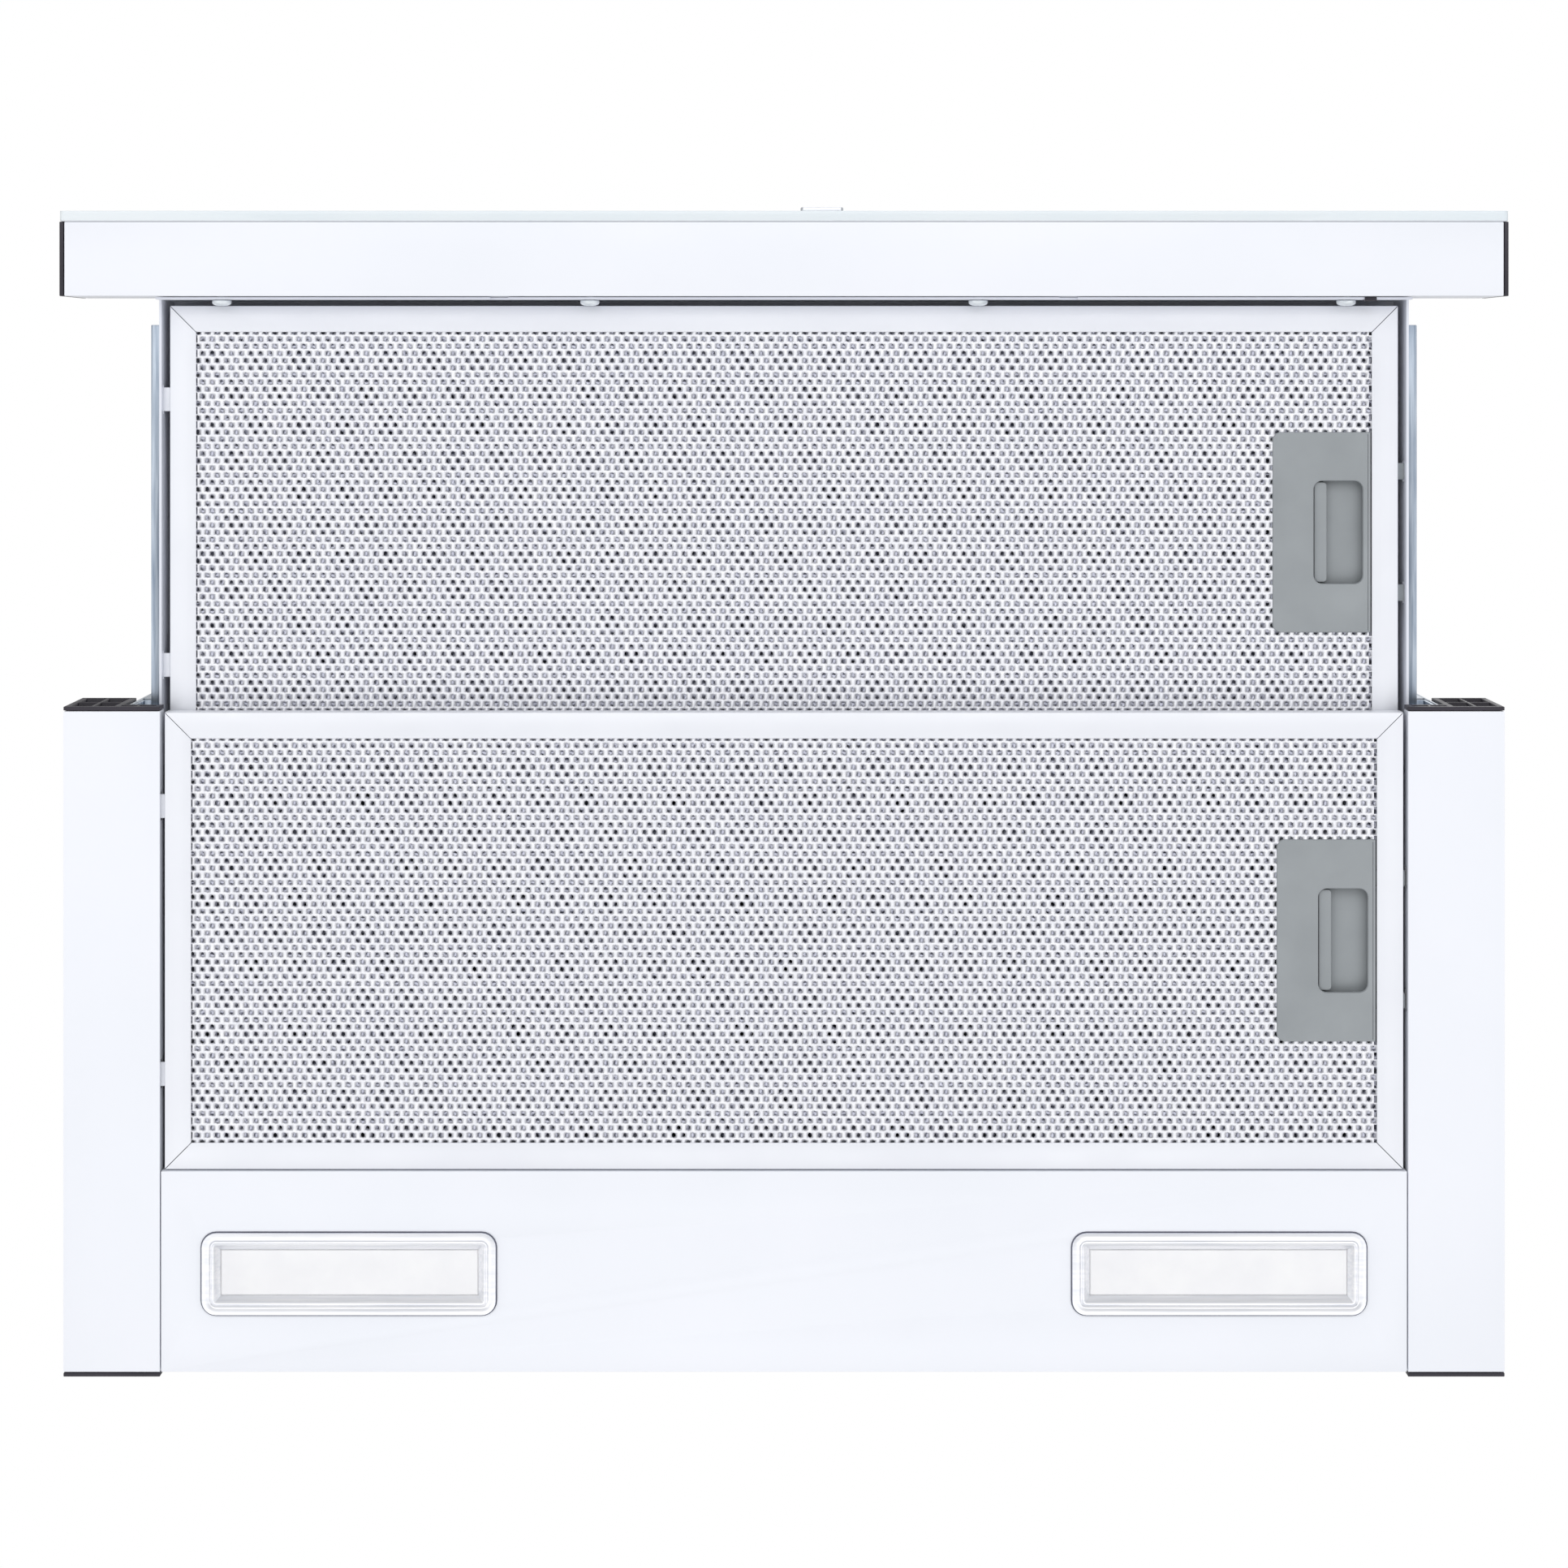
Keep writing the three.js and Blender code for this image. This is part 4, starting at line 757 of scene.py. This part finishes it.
LAMP_CORNER = 6
BEZEL_PROFILE = [
    (0, 1.2),
    (0, 0.5),
    (0.25, 0.12),
    (0.8, 0),
    (2.9, 0),
    (3.4, 0.3),
    (3.7, 0.75),
    (4.1, 0.8),
    (4.5, 0.45),
    (5.0, 0.4),
    (5.6, 0.9),
    (6.9, 2.6),
    (7.4, 3.2),
    (7.4, 3.4),
    (4.0, 3.4),
    (4.0, 9.2),
    (2.5, 9.2),
    (2.5, 1.2),
]
# The gasket reaches 0.5 mm past the bezel, where its slate grey paints the bezel's shadow outline.
GASKET_PROFILE = [(-0.5, 1.25), (-0.5, 1.45), (2.3, 1.45), (2.3, 1.25)]
LENS_PROFILE = [(4.3, 5.7), (4.3, 3.7), (7.6, 3.7), (7.8, 3.3), (8.2, 3.0)]


def lamp_shell(low, high, profile, closed=True):
    mesh = bmesh.new()
    rings = [inset_ring(low, high, inset, low.z + z, LAMP_CORNER) for inset, z in profile]
    add_shell(mesh, rings, closed)
    return mesh


def lamp(side):
    """A stepped frame on a foam gasket, with a diffuser behind its opening. The gasket's slate-grey
    rim past the frame is a painted shadow line round it.
    """
    bezel, lens = "lamp_bezel_" + side, "lamp_lens_" + side
    low, high = span(bezel)
    mesh = lamp_shell(low, high, BEZEL_PROFILE)
    piece_of("lamp_surround_" + side, mesh, "hood", "lamp_bezel", [bezel])
    mesh = lamp_shell(low, high, GASKET_PROFILE)
    piece_of("lamp_gasket_painted_shadow_" + side, mesh, "hood", "black_plastic", material=GASKET_FOAM_AND_PAINTED_SHADOW)
    mesh = lamp_shell(low, high, LENS_PROFILE, closed=False)
    piece_of("lamp_diffuser_" + side, mesh, "hood", "lamp_diffuser", [lens])


for side in ("right", "left"):
    lamp(side)


# Screws, buttons, badge and glass backing: profiles along the hood's depth

TO_WALL = Matrix(((1, 0, 0, 0), (0, 0, 1, 0), (0, 1, 0, 0), (0, 0, 0, 1)))
SCREW_SIDES = 32
SCREW_RADIUS = 4
SCREW_HEAD = 2.4
SCREW_DOME = [(0.96, 0), (1, 0.06), (1, 0.44), (0.95, 0.58), (0.82, 0.76), (0.6, 0.9), (0.1, 1)]
RECESS_ARM = 1.9
RECESS_SLIT = 0.42
RECESS_DEPTH = 0.9
KEY_SIDES = 40
KEY_PROFILE = [
    (1.2, 0.32),
    (2.6, 0.22),
    (3.6, 0.03),
    (4.05, 0),
    (4.4, 0.15),
    (4.5, 0.5),
    (4.5, 5.2),
    (5.3, 5.2),
    (5.3, 6.2),
    (4.5, 6.2),
]
KEYS = ("off", "speed_1", "speed_2", "speed_3", "light")
BADGE_CORNER = 1.5
BADGE_PROFILE = [(1.1, 0.25), (0.8, 0.05), (0.5, 0), (0.15, 0.12), (0, 0.5)]
PAINT = 0.3
PAINT_GAP = 0.03
PAINT_MARGIN = 0.2
PAINT_CORNER = 2
BEZEL_GAP = 0.3
BEZEL_CORNER = 3


def from_face(y):
    """Turns a shell that rises along Z into one that goes towards the wall from y."""
    return Matrix.Translation((0, y, 0)) @ TO_WALL


def front_outline(node):
    """A node's low and high corners as seen from the front."""
    low, high = span(node)
    return (low.x, low.z), (high.x, high.z)


def add_screw(mesh, centre, turn, radius, height, shank=0):
    """A domed head with a rim, standing on z = 0 of turn, and a shank below it."""
    profile = [(radius * r, height * h) for r, h in SCREW_DOME]
    if shank:
        profile = [(radius / 2, -shank), (radius / 2, 0)] + profile
    add_shell(mesh, [circle(centre, r, h, SCREW_SIDES) for r, h in profile], turn=turn)


def fascia_screw(number):
    """A screw through the drawer's front wall, with a cross recess in its dome."""
    node = f"fascia_screw_{number}"
    low, high = span(node)
    x, z = (low.x + high.x) / 2, (low.z + high.z) / 2
    head = high.y - SCREW_HEAD
    mesh = bmesh.new()
    add_screw(mesh, (x, z), from_face(head), SCREW_RADIUS, SCREW_HEAD, shank=head - low.y)
    screw = piece_of(f"fascia_screw_head_{number}", mesh, "drawer", "screw_steel", [node])
    depth = (high.y - RECESS_DEPTH, high.y + CUT_PAST)
    slits = [(RECESS_ARM, RECESS_SLIT), (RECESS_SLIT, RECESS_ARM)]
    carve(screw, [box(around(x, wide), depth, around(z, tall)) for wide, tall in slits])


def key_cap(key):
    """A round push-button with a dished face and a collar that holds it behind the bezel."""
    node = "button_" + key
    low, high = span(node)
    centre = ((low.x + high.x) / 2, (low.z + high.z) / 2)
    profile = KEY_PROFILE + [(KEY_PROFILE[-1][0], high.y - low.y)]
    mesh = bmesh.new()
    rings = [circle(centre, radius, y, KEY_SIDES) for radius, y in profile]
    add_shell(mesh, rings, turn=from_face(low.y))
    piece_of("key_" + key, mesh, node, "button_plastic", [node])


def badge():
    low, high = span("badge_plate")
    outline = front_outline("badge_plate")
    profile = BADGE_PROFILE + [(0, high.y - low.y)]
    mesh = bmesh.new()
    rings = [inset_ring(*outline, inset, y, BADGE_CORNER) for inset, y in profile]
    add_shell(mesh, rings, turn=from_face(low.y))
    piece_of("badge_blank", mesh, "drawer", "badge_metal", ["badge_plate"])


def glass_backing():
    """The white paint behind the glass, left out where the button bezel is."""
    _, glass_high = span("front_glass")
    outside = front_outline("front_glass")
    opening = front_outline("button_bezel")
    rings = [inset_ring(*outside, PAINT_MARGIN, y, PAINT_CORNER) for y in (0, PAINT)]
    rings += [inset_ring(*opening, -BEZEL_GAP, y, BEZEL_CORNER) for y in (PAINT, 0)]
    mesh = bmesh.new()
    add_shell(mesh, rings, closed=True, turn=from_face(glass_high.y + PAINT_GAP))
    piece_of("glass_backing", mesh, "drawer", "white_enamel", material=GLASS_PAINT)


for number in range(1, 5):
    fascia_screw(number)
for key in KEYS:
    key_cap(key)
badge()
glass_backing()


# Small parts that finish the body

PAN_WALL = 1
PLUG_X = (241.4, 246.4)
PLUG_SKIN = 0.6
PLUG_LIP = 0.5
PLUG_TALL = 5
PLUG_GAP = 0.05
GLAND_SIDES = 72
GLAND_TALL = 15
NUT_OUTSIDE = [(10.2, 0.0), (10.4, 0.5), (10.4, 5.0), (9.9, 6.0)]
NUT_BORE = [(4.2, 6), (4.2, 0)]
CAP_OUTSIDE = [(8.4, 6.1), (8.5, 6.5), (8.5, 11), (8.1, 12.6), (7.2, 13.9), (5.8, 14.8), (4.8, 15)]
CAP_BORE = [(4, 14.6), (4, 6.1)]
STEM_PROFILE = [(7.7, -1.3), (7.7, -0.1), (4, -0.1), (4, -1.3)]
CAP_RIBS = 24
CAP_RIB_PLACE = 8.5
CAP_RIB_RADIUS = 0.35
CAP_RIB_HEIGHTS = (6.6, 10.8)
CAP_RIB_SIDES = 8
HOUSING_EDGE = 9
TOP_SCREWS_Y = (-190, -130, -70, -24)
BACK_SCREWS_Z = (96, 48)
HOUSING_SCREW = (3.4, 1.5)


def edge_plug():
    """A small black plug that grips the lower edge of the drawer's front wall."""
    low, _ = span("drawer_pan")
    wall, edge = low.y + PAN_WALL, low.z
    across = (wall - PAN_WALL, wall + PLUG_SKIN)
    mesh = bmesh.new()
    corners = box(PLUG_X, across, (edge - PLUG_LIP, edge + PLUG_TALL))
    add_block(mesh, corners, corner=0.3, edge=0.15)
    plug = piece_of("drawer_edge_plug", mesh, "drawer", "black_plastic")
    sheet = (wall - PAN_WALL - CUT_PAST, wall + PLUG_GAP)
    wide = (PLUG_X[0] - CUT_PAST, PLUG_X[1] + CUT_PAST)
    carve(plug, [box(wide, sheet, (edge - PLUG_GAP, edge + PLUG_TALL + CUT_PAST))])


def cord_gland():
    """A hexagonal nut under a ribbed cap, with a stem below, all open for a cord."""
    low, high = span("mains_gland")
    centre = ((low.x + high.x) / 2, (low.y + high.y) / 2)
    seat = high.z - GLAND_TALL
    mesh = bmesh.new()

    def rings(profile, flats=0):
        return [circle(centre, radius, seat + z, GLAND_SIDES, flats) for radius, z in profile]

    add_shell(mesh, rings(NUT_OUTSIDE, flats=6) + rings(NUT_BORE), closed=True)
    add_shell(mesh, rings(CAP_OUTSIDE + CAP_BORE), closed=True)
    add_shell(mesh, rings(STEM_PROFILE), closed=True)
    for i in range(CAP_RIBS):
        angle = 2 * math.pi * i / CAP_RIBS
        x = centre[0] + CAP_RIB_PLACE * math.cos(angle)
        y = centre[1] + CAP_RIB_PLACE * math.sin(angle)
        rib = [circle((x, y), CAP_RIB_RADIUS, seat + z, CAP_RIB_SIDES) for z in CAP_RIB_HEIGHTS]
        add_shell(mesh, rib)
    piece_of("cord_gland", mesh, "hood", "black_plastic", ["mains_gland"])


def housing_screws():
    """The sheet-metal screws along the top and back edges of both side panels."""
    _, side_high = span("side_panel_right")
    _, shell_high = span("housing_shell")
    mesh = bmesh.new()
    for across in (-1, 1):
        outward = Matrix.Rotation(math.radians(90 * across), 4, "Y")
        face = Matrix.Translation((across * side_high.x, 0, 0)) @ outward
        places = [(-across * (shell_high.z - HOUSING_EDGE), y) for y in TOP_SCREWS_Y]
        places += [(-across * z, -HOUSING_EDGE) for z in BACK_SCREWS_Z]
        for place in places:
            add_screw(mesh, place, face, *HOUSING_SCREW)
    piece_of("housing_screws", mesh, "hood", "screw_steel")


edge_plug()
cord_gland()
housing_screws()


# Room, light and camera: lengths in metres, lamps in watts

CAMERA_PLACE = (0, -0.418, -1.356)
CAMERA_LENS = 73.05
CAMERA_SENSOR = 36
CAMERA_SHIFT = -0.2645
WORLD_LIGHT = 0.63
FLOOR_HALF = 14
FLOOR_Z = -2.4
LIT = (0, -0.24, 0)
LIGHTS = {
    "under_front": ((0, -1.3, -1.5), (2.4, 1.0), 8.6),
    "under_left": ((-1.4, -0.2, -1.2), (1.2, 1.8), 4.8),
    "under_right": ((1.4, -0.2, -1.2), (1.2, 1.8), 4.2),
    "under_wall": ((0, 0.8, -1.5), (2.4, 0.9), 5.6),
    "over": ((0.8, -1.2, 1.6), (1.8, 1.8), 8),
}


def camera_from_below():
    data = bpy.data.cameras.new("camera")
    data.lens = CAMERA_LENS
    data.sensor_width = CAMERA_SENSOR
    data.shift_y = CAMERA_SHIFT
    camera = bpy.data.objects.new("camera", data)
    camera.location = CAMERA_PLACE
    camera.rotation_euler = (math.pi, 0, 0)
    bpy.context.scene.collection.objects.link(camera)
    bpy.context.scene.camera = camera


def floor():
    """A pale floor far below the hood."""
    mesh = bmesh.new()
    bmesh.ops.create_grid(mesh, x_segments=1, y_segments=1, size=FLOOR_HALF)
    data = bpy.data.meshes.new("floor")
    mesh.to_mesh(data)
    mesh.free()
    material, tree, shader = new_material("floor")
    tint(tree, shader, noise(tree, 1.5), (246, 247, 249), (250, 250, 252))
    vary(tree, shader, "Roughness", noise(tree, 4), 0.75, 0.85)
    data.materials.append(material)
    ground = bpy.data.objects.new("floor", data)
    ground.location = (0, 0, FLOOR_Z)
    bpy.context.scene.collection.objects.link(ground)


def soft_light(name, place, size, watts):
    """A rectangular light that faces the middle of the hood."""
    data = bpy.data.lights.new(name, "AREA")
    data.shape = "RECTANGLE"
    data.size, data.size_y = size
    data.energy = watts
    light = bpy.data.objects.new(name, data)
    light.location = place
    aim = Vector(LIT) - Vector(place)
    light.rotation_mode = "QUATERNION"
    light.rotation_quaternion = aim.to_track_quat("-Z", "Y")
    light.visible_camera = False
    bpy.context.scene.collection.objects.link(light)


def white_world():
    """A white backdrop that lights the room a little less than it shows."""
    world = bpy.data.worlds.new("studio")
    world.use_nodes = True
    tree = world.node_tree
    background = tree.nodes["Background"]
    background.inputs["Color"].default_value = (1, 1, 1, 1)
    rays = tree.nodes.new("ShaderNodeLightPath")
    strength = tree.nodes.new("ShaderNodeMapRange")
    strength.inputs["To Min"].default_value = WORLD_LIGHT
    strength.inputs["To Max"].default_value = 1
    tree.links.new(rays.outputs["Is Camera Ray"], strength.inputs["Value"])
    tree.links.new(strength.outputs["Result"], background.inputs["Strength"])
    bpy.context.scene.world = world


camera_from_below()
floor()
white_world()
for name, (place, size, watts) in LIGHTS.items():
    soft_light(name, place, size, watts)

bpy.context.scene.view_settings.view_transform = "Standard"
